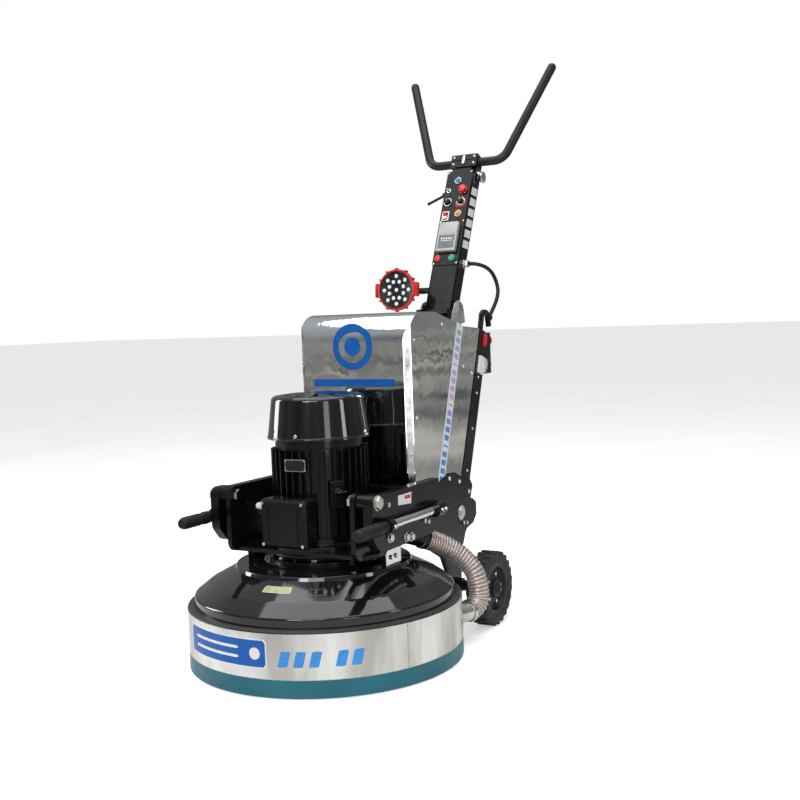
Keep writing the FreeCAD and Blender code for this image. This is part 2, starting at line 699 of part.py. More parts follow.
def make_wheels():
    """Rubber tyres with tread lugs on pressed rims, running on the axle stubs."""
    radius = size("wheel_radius")
    rim = size("rim_radius")
    width = size("wheel_outer") - size("wheel_inner")
    half = width / 2
    bore = size("axle_radius") + 0.05
    tyre_profile = [(rim, -half + 5), (rim + 12, -half, 4), (radius - 14, -half, 8), (radius - 5, -half + 8, 4),
                    (radius - 5, half - 8, 4), (radius - 14, half, 8), (rim + 12, half, 4),
                    (rim, half - 5)]
    rim_profile = [(bore, -half + 1.5), (30, -half + 1.5, 3), (30, -half + 14, 3), (64, -half + 22, 6),
                   (72, -half + 6, 3), (rim, -half + 5), (rim, half - 5), (72, half - 6, 3),
                   (64, half - 22, 6), (30, half - 14, 3), (30, half - 4, 3), (bore, half - 4)]
    for side, sign in (("left", -1), ("right", 1)):
        middle = Vector(sign * (size("wheel_inner") + half), size("axle_y") + size("head_y"), radius)
        place = Placement(middle, Rotation(Vector(0, 1, 0), 90 * sign))
        tyre = turned(f"{side}_tyre", tyre_profile, place)
        lug = sketch_on(tyre, "YZ_Plane", f"{side}_lug", radius - 10)
        for low_v, high_v, shift in ((-half + 5, -1.5, -8.0), (1.5, half - 5, 8.0)):
            draw(lug, rectangle(shift - 8, low_v, shift + 8, high_v, 2))
        block = pad(tyre, lug, 8.8, f"{side}_lug_pad")
        around(tyre, block, 24, f"{side}_lugs")
        turned(f"{side}_rim", rim_profile, place)


def make_rear_frame():
    """Two leaning posts, the beam across their tops, the column's hinge ears and a conduit elbow."""
    lean = Rotation(Vector(1, 0, 0), -size("post_lean"))
    depth = size("post_depth") * math.cos(math.radians(size("post_lean")))
    width = size("post_outer") - size("post_inner")
    foot_y = 524.0
    foot_z = 399.0
    length = 622.0
    posts = []
    cores = []
    for side, sign in (("left", -1), ("right", 1)):
        post = primitive("Part::Box", f"{side}_post", (0, 0, 0), Length=width, Width=depth, Height=length)
        base = Vector(size("post_inner") if sign > 0 else -size("post_outer"), foot_y, foot_z)
        post.Placement = Placement(base, lean)
        posts.append(post)
        core = primitive("Part::Box", f"{side}_post_core", (0, 0, 0), Length=width - 8,
                         Width=depth - 8, Height=length)
        inset = lean.multVec(Vector(0, 4, -44))
        core.Placement = Placement(base + Vector(4, 0, 0) + inset, lean)
        cores.append(core)
    trim = box("post_trim", (-300, 400, 300), (300, 900, foot_z))
    solid_posts = doc.addObject("Part::MultiFuse", "solid_posts")
    solid_posts.Shapes = posts
    post_cores = doc.addObject("Part::MultiFuse", "post_cores")
    post_cores.Shapes = cores
    posts_up = cut("posts_up", solid_posts, post_cores)
    inner = size("post_inner")
    beam = box("top_beam", (-inner, 748, 930), (inner, 812, 978))
    pin_y, pin_z = column_pivot()
    ear = size("hinge_ear")
    ears = []
    for side, start in (("left", -ear - 10), ("right", ear)):
        web = box(f"{side}_web", (start, 770, 976), (start + 10, 866, pin_z))
        round_top = cylinder(f"{side}_web_top", (start, pin_y, pin_z), (1, 0, 0), 27.0, 10.0)
        ears += [web, round_top]
    elbow_path = route([(184, 849, 988), (184, 838, 1037), (184, 796, 1040), (184, 772, 958)])
    elbow = doc.addObject("Part::Feature", "conduit_elbow")
    elbow.Shape = swept("conduit_elbow", elbow_path, 10.0, radii=(18, 18))
    inlet = cylinder("conduit_inlet", onward(CABLE_END, CABLE_END_HEADING, 22),
                     [-step for step in CABLE_END_HEADING], 9.5, 21.98)
    bore = cylinder("hinge_bore", (-100, pin_y, pin_z), (1, 0, 0), "Sizes.pin_radius", 200.0)
    whole = doc.addObject("Part::MultiFuse", "rear_frame_whole")
    whole.Shapes = [posts_up, beam, elbow, inlet] + ears
    drilled = cut("rear_frame_drilled", whole, bore)
    keep(cut("rear_frame", drilled, trim), "rear_frame", floor_place())


def column_pivot():
    """Centre of the column's hinge pin, y and z about the head's axis."""
    lean = math.radians(size("column_lean"))
    half = size("column_depth") / 2
    return (size("column_y") + half * math.cos(lean), size("column_z") - half * math.sin(lean))


def make_cabinet():
    """Folded cabinet cover with bevelled front corners and a rounded front-to-top bend."""
    half = size("cabinet_half")
    wall = size("cabinet_wall")
    front = size("cabinet_front")
    side = [(front, 424), (front, 1050, 92), (398, 1046, 60), (600, 994, 60), (728, 984),
            (524, 424), (514, 414, 14), (300, 414, 10)]
    outer = extrude_side(side, half)
    outer = bevel_front(outer, half, front)
    inner_side = [(front + wall, 400), (front + wall, 1050 - wall, 90), (398, 1046 - wall, 60),
                  (600, 994 - wall, 60), (760, 984 - wall), (548, 400)]
    inner = extrude_side(inner_side, half - wall)
    inner = bevel_front(inner, half - wall, front + wall)
    shaped("cabinet_cover", outer.cut(inner).removeSplitter().Solids[0])


def extrude_side(outline, half):
    """Solid of a side outline drawn in (y, z), extruded to both sides."""
    edges = [item.toShape() for item in corner_edges(outline)]
    wire = Part.Wire(Part.__sortEdges__(edges))
    face = Part.Face(wire)
    turn = FreeCAD.Matrix(0, 0, 1, -half, 1, 0, 0, 0, 0, 1, 0, 0, 0, 0, 0, 1)
    face = face.transformGeometry(turn)
    return face.extrude(Vector(2 * half, 0, 0))


def bevel_front(solid, half, front):
    """Cut the cover's two front corners off at a slant."""
    run = size("cabinet_bevel")
    for sign in (-1, 1):
        corner = [Vector(sign * (half - run), front - 60 - 48, 300), Vector(sign * (half - run), front, 300),
                  Vector(sign * half, front + 16, 300), Vector(sign * (half + 60), front + 16, 300),
                  Vector(sign * (half + 60), front - 108, 300)]
        wedge = Part.Face(Part.makePolygon(corner + corner[:1])).extrude(Vector(0, 0, 900))
        solid = solid.cut(wedge)
    return solid


def make_inverter():
    """Frequency inverter standing in the cabinet."""
    body = new_body("motor_inverter")
    face = sketch_on(body, "XY_Plane", "inverter_plan", size("beam_low") + 0.2)
    draw(face, rectangle(-110, 250, 110, 420, 8))
    pad(body, face, 420.0, "inverter_pad")
    fins = sketch_on(body, "XY_Plane", "inverter_fins", size("beam_low") + 30)
    draw(fins, rectangle(-84, 420, 84, 448))
    pad(body, fins, 330.0, "inverter_sink")


def post_point(height, back):
    """A point on the posts' rear face line: height up, and back behind it."""
    lean = math.tan(math.radians(size("post_lean")))
    return 524.0 + size("post_depth") + (height - 399.0) * lean + back


def make_isolator():
    """Isolator box behind the right post, with its power inlet and its turning knob."""
    low = (165.2, post_point(822, -1), 822)
    case_solid = box("isolator_case", low, (204, low[1] + 74, 966))
    gland = cylinder("inlet_gland", (183, low[1] + 72, 852), (0, 1, 0), 13.0, 22.0)
    slant = primitive("Part::Box", "post_shadow", (0, 0, 0), Length=60, Width=66, Height=622)
    slant.Placement = Placement(Vector(160, 524, 399), Rotation(Vector(1, 0, 0), -size("post_lean")))
    case = doc.addObject("Part::MultiFuse", "isolator_whole")
    case.Shapes = [case_solid, gland]
    keep(cut("isolator_box", case, slant), "isolator_box", floor_place())
    knob_y = low[1] + 74.3
    place = Placement(Vector(183, knob_y + size("head_y"), 938), Rotation(Vector(1, 0, 0), -90))
    turned("isolator_knob", [(0, 0), (23, 0), (24, 6, 2), (22, 12, 2), (8, 13), (7, 19, 2), (0, 19)],
           place)


def make_pins():
    """Two head pivot pins and the column's hinge pin."""
    py = size("pivot_y")
    pz = size("pivot_z")
    items = []
    for side, sign in (("left", -1), ("right", 1)):
        start = sign * (size("ear_inner") - 6)
        length = size("arm_outer") + 14 - size("ear_inner") + 6
        pin = cylinder(f"{side}_pin", (start, py, pz), (sign, 0, 0), "Sizes.pin_radius", length)
        head = hexagon(f"{side}_pin_head", (sign * size("arm_outer"), py, pz), (sign, 0, 0), 37.0, 12.0)
        nut = hexagon(f"{side}_pin_nut", (sign * (size("ear_inner") - 16), py, pz), (sign, 0, 0), 37.0, 14.0)
        whole = doc.addObject("Part::MultiFuse", f"{side}_pivot_pin")
        whole.Shapes = [pin, head, nut]
        items.append(whole)
    pin_y, pin_z = column_pivot()
    reach = size("hinge_ear") + 10
    pin = cylinder("hinge_pin", (-reach, pin_y, pin_z), (1, 0, 0), "Sizes.pin_radius", 2 * reach)
    heads = [hexagon(f"hinge_nut_{side}", (sign * reach, pin_y, pin_z), (sign, 0, 0), 40.0, 12.0)
             for side, sign in (("left", -1), ("right", 1))]
    whole = doc.addObject("Part::MultiFuse", "column_pin")
    whole.Shapes = [pin] + heads
    grouped("pivot_pins", items + [whole])


def make_bolts():
    """Hexagon bolts of the chassis and of the head, each a separate solid."""
    chassis = []
    for side, sign in (("left", -1), ("right", 1)):
        face = sign * size("arm_outer")
        for number, (y, z) in enumerate(((120, 414), (142, 408), (-95, 498))):
            chassis.append(hexagon(f"{side}_arm_bolt_{number}", (face, y, z), (sign, 0, 0), 16.0, 8.0))
        plate = sign * size("side_outer")
        for number, (y, z, across) in enumerate(((549, 362, 34), (556, 326, 14), (580, 322, 14))):
            chassis.append(hexagon(f"{side}_plate_bolt_{number}", (plate, y, z), (sign, 0, 0), across, 8.0))
    grouped("chassis_bolts", chassis)
    head = []
    for index in range(8):
        angle = math.radians(45 * index + 22.5)
        at = (151.5 * math.cos(angle), 151.5 * math.sin(angle), size("dome_top") + 12)
        head.append(hexagon(f"bell_bolt_{index}", at, (0, 0, 1), 18.0, 7.9))
        at = (149 * math.cos(angle), 149 * math.sin(angle), size("yoke_low") + size("yoke_thick") + 16)
        if abs(at[0]) > 85 or at[1] > 0:
            head.append(hexagon(f"flange_bolt_{index}", at, (0, 0, 1), 18.0, 5.0))
    half = size("box_half") - 11
    for index, (x, z) in enumerate(((-half, size("box_low") + 11), (half, size("box_low") + 11),
                                    (-half, size("box_high") - 11), (half, size("box_high") - 11))):
        front = -size("box_front") - size("lid_thick")
        head.append(cylinder(f"lid_screw_{index}", (x, front, z), (0, -1, 0), 5.0, 3.0))
    grouped("head_bolts", head)


# ---------------------------------------------------------------- dust pipe, hose and cable

def smooth_path(points, radii=None):
    """Straight runs joined by tangent arcs, and each arc's radius."""
    edges = []
    report = []
    start = points[0]
    for index in range(1, len(points) - 1):
        here = points[index]
        before = points[index - 1] - here
        after = points[index + 1] - here
        half = before.getAngle(after) / 2
        turn = math.pi - 2 * half
        if radii:
            radius = radii[index - 1]
        else:
            radius = 0.45 * min(before.Length, after.Length) / math.tan(turn / 2)
        reach = radius * math.tan(turn / 2)
        back = before.normalize()
        ahead = after.normalize()
        entry = here + back * reach
        leave = here + ahead * reach
        bisector = (back + ahead).normalize()
        middle = here + bisector * (radius / math.cos(turn / 2) - radius)
        edges.append(Part.LineSegment(start, entry).toShape())
        edges.append(Part.Arc(entry, middle, leave).toShape())
        report.append(round(radius, 1))
        start = leave
    edges.append(Part.LineSegment(start, points[-1]).toShape())
    return Part.Wire(edges), report


def swept(label, points, radius, bore=0.0, radii=None):
    """A round tube or bar along a route; its volume is compared with section times length."""
    path, report = smooth_path(points, radii)
    direction = points[1] - points[0]
    ring = Part.Wire(Part.makeCircle(radius, points[0], direction))
    solid = path.makePipeShell([ring], True, False)
    expected = math.pi * radius ** 2 * path.Length
    if bore > 0:
        hole = Part.Wire(Part.makeCircle(bore, points[0], direction))
        solid = solid.cut(path.makePipeShell([hole], True, False))
        expected -= math.pi * bore ** 2 * path.Length
    print(f"{label}: length {path.Length:.0f} mm, arc radii {report}, "
          f"volume ratio {solid.Volume / expected:.4f}")
    return solid


def route(points):
    """A list of route points as vectors."""
    return [Vector(*point) for point in points]


def make_lines():
    """Dust hose, rigid dust pipe and the control cable."""
    hose = swept("dust_hose", route(HOSE_ROUTE), size("hose_radius"), size("pipe_bore"), HOSE_RADII)
    shaped("dust_hose", hose)
    pipe = swept("dust_pipe", route(PIPE_ROUTE), size("pipe_radius"), size("pipe_bore"), (40, 52))
    outlet = PIPE_ROUTE[-1]
    spigot_base = Vector(outlet[0], outlet[1] - size("outlet_length"), outlet[2])
    spigot = Part.makeCylinder(size("outlet_radius"), size("outlet_length"), spigot_base, Vector(0, 1, 0))
    bore = Part.makeCylinder(size("pipe_bore"), 100, spigot_base - Vector(0, 20, 0), Vector(0, 1, 0))
    shaped("dust_pipe", pipe.fuse(spigot).cut(bore).removeSplitter().Solids[0])
    cable = swept("control_cable", route(CABLE_ROUTE), size("cable_radius"))
    shaped("control_cable", cable)


# ---------------------------------------------------------------- control column

def make_column():
    """Rectangular column tube with the work light's tab and the cable gland."""
    half = size("column_half")
    depth = size("column_depth")
    wall = size("column_wall")
    body = new_body("column_tube", column_place())
    section = sketch_on(body, "XY_Plane", "column_section", size("column_low"))
    draw(section, rectangle(-half, 0, half, depth, 8))
    pad(body, section, "Sizes.column_high - Sizes.column_low", "column_pad")
    hollow = sketch_on(body, "XY_Plane", "column_hollow", size("column_low") - 1)
    draw(hollow, rectangle(-half + wall, wall, half - wall, depth - wall, 5))
    pocket(body, hollow, size("column_high") - size("column_low") - 7, "column_bore", reverse=True)
    window = sketch_on(body, "XZ_Plane", "panel_window", 1.0)
    draw(window, rectangle(-half + 9, 178, half - 9, 540, 6))
    pocket(body, window, wall + 2.0, "panel_cut")
    pin = sketch_on(body, "YZ_Plane", "pin_hole", -half - 1)
    pin.addGeometry(Part.Circle(Vector(depth / 2, 0, 0), Vector(0, 0, 1), size("pin_radius") + 0.05))
    pocket(body, pin, 2 * half + 2, "pin_bore", reverse=True)
    tab = sketch_on(body, "YZ_Plane", "light_tab", -137.0)
    draw(tab, rectangle(8, 54, 14, 78, 2))
    pad(body, tab, 137.0 - half + 1, "light_tab_pad")
    ear = sketch_on(body, "YZ_Plane", "light_ear", -137.0)
    draw(ear, rectangle(-25, 54, 14, 78, 9))
    pad(body, ear, 6.0, "light_ear_pad")
    eye = sketch_on(body, "YZ_Plane", "light_eye", -138.0)
    eye.addGeometry(Part.Circle(Vector(LIGHT_PIVOT[0], LIGHT_PIVOT[1], 0), Vector(0, 0, 1), 5.05))
    pocket(body, eye, 8.0, "light_eye_cut", reverse=True)
    gland = sketch_on(body, "YZ_Plane", "cable_gland", half - 1)
    gland.addGeometry(Part.Circle(Vector(41, 182, 0), Vector(0, 0, 1), 12.0))
    pad(body, gland, 23.0, "cable_gland_pad")


def make_control_plate():
    """Front control plate, drilled for the controls, and the display unit on it."""
    half = size("column_half")
    body = new_body("control_plate", column_place())
    face = sketch_on(body, "XZ_Plane", "plate_face", 0.1)
    draw(face, rectangle(-half + 1, 160, half - 1, 553, 6))
    pad(body, face, "Sizes.plate_thick", "plate_pad")
    holes = sketch_on(body, "XZ_Plane", "plate_holes", 0.0)
    for x, s, radius in ((-32, 188, 8.4), (26, 188, 8.4), (-31, 422, 7.0), (23, 422, 7.0),
                         (25, 470, 9.4)):
        holes.addGeometry(Part.Circle(Vector(x, s, 0), Vector(0, 0, 1), radius))
    pocket(body, holes, 8.0, "plate_hole_cut", reverse=True)
    rocker = sketch_on(body, "XZ_Plane", "rocker_slot", 0.0)
    draw(rocker, rectangle(-42, 348, -20, 380))
    pocket(body, rocker, 8.0, "rocker_cut", reverse=True)

    unit = new_body("display_unit", column_place())
    case = sketch_on(unit, "XZ_Plane", "display_case", size("plate_thick") + 0.1)
    draw(case, rectangle(-40, 212, 38, 330, 5))
    pad(unit, case, 16.0, "display_pad")
    screen = sketch_on(unit, "XZ_Plane", "display_window", size("plate_thick") + 17.1)
    draw(screen, rectangle(-34, 222, 32, 276, 2))
    pocket(unit, screen, 3.0, "display_recess", reverse=False)


def front_place(x, s, proud=0.0):
    """Placement on the control plate's face, with z pointing out of it."""
    local = Placement(Vector(x, -size("plate_thick") - 0.1 - proud, s), Rotation(Vector(1, 0, 0), 90))
    return column_place().multiply(local)


def make_controls():
    """Push buttons, knobs and the rocker, each turned or padded about its own axis."""
    push = [(0, -9), (5, -9), (5, -2), (8, -2), (8, 7, 1.5), (0, 7.5)]
    turned("stop_button", push, front_place(-32, 188))
    turned("start_button", push, front_place(26, 188))
    mushroom = [(0, -10), (6, -10), (6, -2), (9, -2), (9, 7), (15, 9, 2), (15, 16, 4), (0, 18)]
    turned("emergency_button", mushroom, front_place(25, 470))
    knob = [(0, -9), (5, -9), (5, 0.4), (13, 0.4), (12.4, 3), (11, 15, 2), (0, 15.5)]
    turned("speed_knob", knob, front_place(-31, 422))
    turned("mode_knob", knob, front_place(23, 422))
    rocker = new_body("rocker_switch", front_place(-31, 364))
    side = sketch_on(rocker, "YZ_Plane", "rocker_side", -10.0)
    draw(side, [(-14, 3.2), (0, 2.0), (14, 5.6), (12.5, -4, 2), (-12.5, -4, 2)])
    pad(rocker, side, 20.0, "rocker_pad")
    pin = sketch_on(rocker, "YZ_Plane", "rocker_pin", -10.6)
    pin.addGeometry(Part.Circle(Vector(0, 0, 0), Vector(0, 0, 1), 1.6))
    pad(rocker, pin, 21.2, "rocker_pin_pad")


def make_lever():
    """Throttle-style hand lever pivoted on the column's left side."""
    half = size("column_half")
    root = (-half - 10, 20, 466)
    run = (-62.0, 0.0, -30.0)
    tip = tuple(at + step for at, step in zip(root, run))
    hub = cylinder("lever_hub", (-half - 0.3, 20, 466), (-1, 0, 0), 10.0, 14.0)
    rod = cylinder("lever_rod", root, run, 5.0, math.hypot(*run))
    knob = primitive("Part::Sphere", "lever_tip", tip, Radius=6.0)
    fused("control_lever", [hub, rod, knob], column_place())


def make_handlebar():
    """Bent handlebar tube and the clamp block that holds it on the column."""
    radius = size("bar_radius")
    middle_y = size("column_depth") / 2
    half = size("bar_half")
    horn = Vector(size("horn_x"), middle_y, size("horn_s"))
    corner = Vector(half, middle_y, size("bar_s"))
    points = [Vector(-horn.x, middle_y, horn.z), Vector(-half, middle_y, corner.z), corner, horn]
    bend = size("bar_bend")
    bar = swept("handlebar", points, radius, radii=(bend, bend))
    ends = [Part.makeSphere(radius, point) for point in (points[0], points[-1])]
    shaped("handlebar", bar.fuse(ends).removeSplitter().Solids[0], column_place())

    block = box("clamp_block", (-54, 8, 578), (54, 58, 630))
    neck = box("clamp_neck", (-34, 14, size("column_high")), (34, 52, 580))
    bore = cylinder("clamp_bore", (-60, middle_y, size("bar_s")), (1, 0, 0), radius + 0.05, 120.0)
    slit = box("clamp_slit", (-60, -2, size("bar_s") - 1.5), (60, middle_y, size("bar_s") + 1.5))
    whole = doc.addObject("Part::MultiFuse", "clamp_whole")
    whole.Shapes = [block, neck]
    bored = cut("clamp_bored", whole, bore)
    keep(cut("handlebar_clamp", bored, slit), "handlebar_clamp", column_place())


def make_work_light():
    """Round work light: finned housing, bezel and a rear lug with its pivot bolt."""
    pivot = column_place().multVec(Vector(-143, *LIGHT_PIVOT))
    facing = Rotation(Vector(1, 0, 0), 86)
    reach = Vector(0, 8.5, -51.8)
    place = Placement(pivot - facing.multVec(reach), facing)
    body = turned("work_light", [(0, -30), (34, -30), (40, -26), (40, -8), (70, -6, 3), (76, 4, 3),
                                 (76, 16, 3), (68, 18), (66, 11), (0, 11)], place)
    fin = sketch_on(body, "YZ_Plane", "cooling_fin", -1.5)
    draw(fin, [(30, -34), (62, -22), (66, -4), (30, -4)])
    rib = pad(body, fin, 3.0, "cooling_fin_pad")
    around(body, rib, 20, "cooling_fins")
    lug = sketch_on(body, "YZ_Plane", "pivot_lug", -4.3)
    draw(lug, rectangle(reach.y - 10, reach.z - 10, reach.y + 10, -24, 8))
    pad(body, lug, 10.0, "pivot_lug_pad")
    bolt = sketch_on(body, "YZ_Plane", "pivot_bolt", 5.0)
    bolt.addGeometry(Part.Circle(Vector(reach.y, reach.z, 0), Vector(0, 0, 1), 5.0))
    pad(body, bolt, 13.0, "pivot_bolt_pad")
    nut = sketch_on(body, "YZ_Plane", "pivot_nut", 12.3)
    nut.addGeometry(Part.Circle(Vector(reach.y, reach.z, 0), Vector(0, 0, 1), 9.0))
    pad(body, nut, 5.0, "pivot_nut_pad")


def main():
    make_gear_train()
    make_grinding_discs()
    make_carrier()
    make_shroud()
    make_head_cover()
    make_bell_housing()
    make_yoke()
    make_motor()
    make_fan_cowl()
    make_rotor()
    make_terminal_box()
    make_dust_port()
    make_arm_frame()
    make_handle_guides()
    make_carry_handles()
    make_side_plates()
    make_axle()
    make_wheels()
    make_rear_frame()
    make_cabinet()
    make_inverter()
    make_isolator()
    make_pins()
    make_bolts()
    make_lines()
    make_column()
    make_control_plate()
    make_controls()
    make_lever()
    make_handlebar()
    make_work_light()
    doc.recompute()

    for item in doc.Objects:
        if "Invalid" in item.State or "Error" in item.State:
            raise RuntimeError(f"{item.Label}: {item.State}")
    whole = FreeCAD.BoundBox()
    os.makedirs("parts", exist_ok=True)
    for node in NODES:
        if node.Shape.isNull() or not node.Shape.isValid():
            raise RuntimeError(f"{node.Label} has no valid shape")
        if not node.Shape.Solids:
            raise RuntimeError(f"{node.Label} has no solid")
        node.Shape.exportStep(f"parts/{node.Label}.step")
        whole.add(node.Shape.BoundBox)
    print(f"{len(NODES)} nodes, box {whole}")


main()
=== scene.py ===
"""Looks of the walk-behind concrete grinder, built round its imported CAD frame.

Forms are drawn in millimetres, either about the grinding head's axis (FLOOR) or in the control
column's own frame (COLUMN: x across, y out of the column's back, z along it), and are baked into
metres in the row frame.
"""
from math import atan2, cos, pi, radians, sin, sqrt, tan

import bpy
from mathutils import Matrix, Vector


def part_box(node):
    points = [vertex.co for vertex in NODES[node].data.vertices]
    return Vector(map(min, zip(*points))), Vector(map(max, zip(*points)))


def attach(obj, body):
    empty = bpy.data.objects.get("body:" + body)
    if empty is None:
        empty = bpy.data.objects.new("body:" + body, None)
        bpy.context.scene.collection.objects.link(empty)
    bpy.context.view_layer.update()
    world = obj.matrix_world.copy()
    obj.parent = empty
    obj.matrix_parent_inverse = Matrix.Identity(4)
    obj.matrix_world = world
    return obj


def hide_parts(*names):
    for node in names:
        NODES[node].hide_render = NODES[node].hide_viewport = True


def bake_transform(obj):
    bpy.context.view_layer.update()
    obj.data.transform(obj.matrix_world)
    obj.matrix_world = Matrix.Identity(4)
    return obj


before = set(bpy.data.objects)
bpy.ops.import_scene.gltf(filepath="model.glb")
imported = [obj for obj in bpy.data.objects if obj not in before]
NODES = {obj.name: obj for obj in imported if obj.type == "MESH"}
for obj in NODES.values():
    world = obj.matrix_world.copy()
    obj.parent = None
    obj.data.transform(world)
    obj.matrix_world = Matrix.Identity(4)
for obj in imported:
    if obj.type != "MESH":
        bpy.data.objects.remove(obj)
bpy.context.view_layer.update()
X, Y, Z = range(3)
LOW, HIGH = range(2)
SIDES = (("left", -1), ("right", 1))


def limit(node, side, axis):
    """Where a node's box ends, in millimetres."""
    return round(1000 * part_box(node)[side][axis], 2)


def middle(node, axis):
    """The middle of a node's box, in millimetres."""
    return round((limit(node, LOW, axis) + limit(node, HIGH, axis)) / 2, 2)


HEAD_Y = middle("shroud_band", Y)
BAND_RADIUS = limit("shroud_band", HIGH, X)
BAND_HEIGHT = 125
CABINET_SIDE = limit("cabinet_cover", HIGH, X)
CABINET_FRONT = limit("cabinet_cover", LOW, Y) - HEAD_Y
ARM_OUTSIDE = 287
PLATE_OUTSIDE = limit("right_side_plate", HIGH, X)
COLLAR_OUTSIDE = limit("arm_frame", HIGH, X)
GUIDE_X, GUIDE_Z = middle("right_carry_handle", X), middle("right_carry_handle", Z)
WHEEL_X, WHEEL_Z = middle("right_tyre", X), middle("wheel_axle", Z)
WHEEL_Y = middle("wheel_axle", Y) - HEAD_Y
LID_FRONT = limit("terminal_lid", LOW, Y) - HEAD_Y
INVERTER_FRONT = limit("motor_inverter", LOW, Y) - HEAD_Y
INVERTER_BACK = limit("motor_inverter", HIGH, Y) - HEAD_Y
BADGE_ANGLE = -102.5
COLUMN_FOOT = (0, 813 + HEAD_Y, 1070)
COLUMN_LEAN = radians(-24.2)
LAMP_LEAN = radians(86)
LAMP_REACH = 51.8
CAMERA_PLACE = (1.91726, -3.28925, 1.03637)
CAMERA_TURN = (29.59, 4.24, -2.09)
CAMERA_LENS = 50.98

shift = Matrix.Translation
MM = Matrix.Scale(0.001, 4)
FLOOR = MM @ shift((0, HEAD_Y, 0))
COLUMN = MM @ shift(COLUMN_FOOT) @ Matrix.Rotation(COLUMN_LEAN, 4, "X")
LAMP = (shift(COLUMN @ Vector((-143, -14, 66))) @ Matrix.Rotation(LAMP_LEAN, 4, "X") @ MM
        @ shift((0, -8.5, LAMP_REACH)))


# ---------------------------------------------------------------- forms

def moved(form, matrix):
    """The form after a transform."""
    verts, faces = form
    return [matrix @ Vector(v) for v in verts], faces


def merged(*forms):
    """Several forms as one."""
    verts, faces = [], []
    for form_verts, form_faces in forms:
        start = len(verts)
        verts += [Vector(v) for v in form_verts]
        faces += [tuple(start + i for i in face) for face in form_faces]
    return verts, faces


def repeated(form, count, radius=0.0, start=0.0, axis="Z"):
    """Copies of a form spaced evenly round an axis."""
    copies = []
    for index in range(count):
        turn = Matrix.Rotation(radians(start) + 2 * pi * index / count, 4, axis)
        copies.append(moved(form, turn @ shift((radius, 0, 0))))
    return merged(*copies)


def lathe(profile, steps=40):
    """A profile of (radius, height) points turned about z; radius 0 closes it."""
    verts, faces, rings = [], [], []
    for radius, height in profile:
        count = 1 if radius == 0 else steps
        rings.append(range(len(verts), len(verts) + count))
        for step in range(count):
            angle = 2 * pi * step / steps
            verts.append(Vector((radius * cos(angle), radius * sin(angle), height)))
    for low, high in zip(rings, rings[1:]):
        for step in range(steps):
            follow = (step + 1) % steps
            corners = [low[step % len(low)], low[follow % len(low)],
                       high[follow % len(high)], high[step % len(high)]]
            face = tuple(dict.fromkeys(corners))
            if len(face) > 2:
                faces.append(face)
    return verts, faces


def prism(outline, low, high):
    """An outline of (x, y) points raised along z."""
    count = len(outline)
    verts = [Vector((x, y, low)) for x, y in outline] + [Vector((x, y, high)) for x, y in outline]
    faces = [tuple(reversed(range(count))), tuple(range(count, 2 * count))]
    for index in range(count):
        follow = (index + 1) % count
        faces.append((index, follow, count + follow, count + index))
    return verts, faces


def rounded(half_u, half_v, radius, steps=5):
    """Outline of a rectangle with rounded corners."""
    outline = []
    for corner, (sign_u, sign_v) in enumerate(((1, 1), (-1, 1), (-1, -1), (1, -1))):
        for step in range(steps + 1):
            angle = pi / 2 * (corner + step / steps)
            outline.append((sign_u * (half_u - radius) + radius * cos(angle),
                            sign_v * (half_v - radius) + radius * sin(angle)))
    return outline


def hexagon(across):
    """Outline of a hexagon head."""
    return [(across / 2 * cos(radians(60 * i)), across / 2 * sin(radians(60 * i)))
            for i in range(6)]


def facing(direction, at, roll=0.0):
    """Matrix that lays a form drawn on xy at a point, with its z along a direction."""
    z = Vector(direction).normalized()
    up = Vector((0, 0, 1)) if abs(z.z) < 0.9 else Vector((0, 1, 0))
    x = up.cross(z).normalized()
    y = z.cross(x)
    turn = Matrix((x, y, z)).transposed().to_4x4()
    return shift(at) @ turn @ Matrix.Rotation(radians(roll), 4, "Z")


def beside(sign, x, y, z):
    """Matrix that lays a form on a side of the machine, facing outwards."""
    return facing((sign, 0, 0), (sign * x, y, z))


def tube(points, radii, sides=24):
    """A tube through points; radii gives one radius for each point."""
    verts, faces = [], []
    ahead = (points[1] - points[0]).normalized()
    side = ahead.orthogonal().normalized()
    for index, point in enumerate(points):
        after = points[min(index + 1, len(points) - 1)]
        before = points[max(index - 1, 0)]
        ahead = (after - before).normalized()
        side = (side - ahead * side.dot(ahead)).normalized()
        other = ahead.cross(side)
        for step in range(sides):
            angle = 2 * pi * step / sides
            verts.append(point + (side * cos(angle) + other * sin(angle)) * radii[index])
    for index in range(len(points) - 1):
        for step in range(sides):
            a = index * sides + step
            b = index * sides + (step + 1) % sides
            faces.append((a, b, b + sides, a + sides))
    faces.append(tuple(reversed(range(sides))))
    faces.append(tuple(range(len(verts) - sides, len(verts))))
    return verts, faces


def wrapped(width, height, corner, lay, thick=0.35, steps=28):
    """A thin rounded patch laid on a curved wall; lay(u, v, d) gives the wall's point."""
    verts, faces = [], []
    for step in range(steps + 1):
        u = -width / 2 + width * step / steps
        inset = max(0.0, abs(u) - (width / 2 - corner))
        half = height / 2 - corner + sqrt(max(corner ** 2 - inset ** 2, 0.0))
        half = max(half, 0.05)
        for v, depth in ((-half, -0.2), (-half, thick), (half, thick), (half, -0.2)):
            verts.append(Vector(lay(u, v, depth)))
    for step in range(steps):
        a = 4 * step
        for k in range(3):
            faces.append((a + k, a + 4 + k, a + 5 + k, a + k + 1))
    faces.append((0, 1, 2, 3))
    last = 4 * steps
    faces.append((last + 3, last + 2, last + 1, last))
    return verts, faces


def placed(name, data):
    """A new object of some data, in the scene."""
    item = bpy.data.objects.new(name, data)
    bpy.context.scene.collection.objects.link(item)
    return item


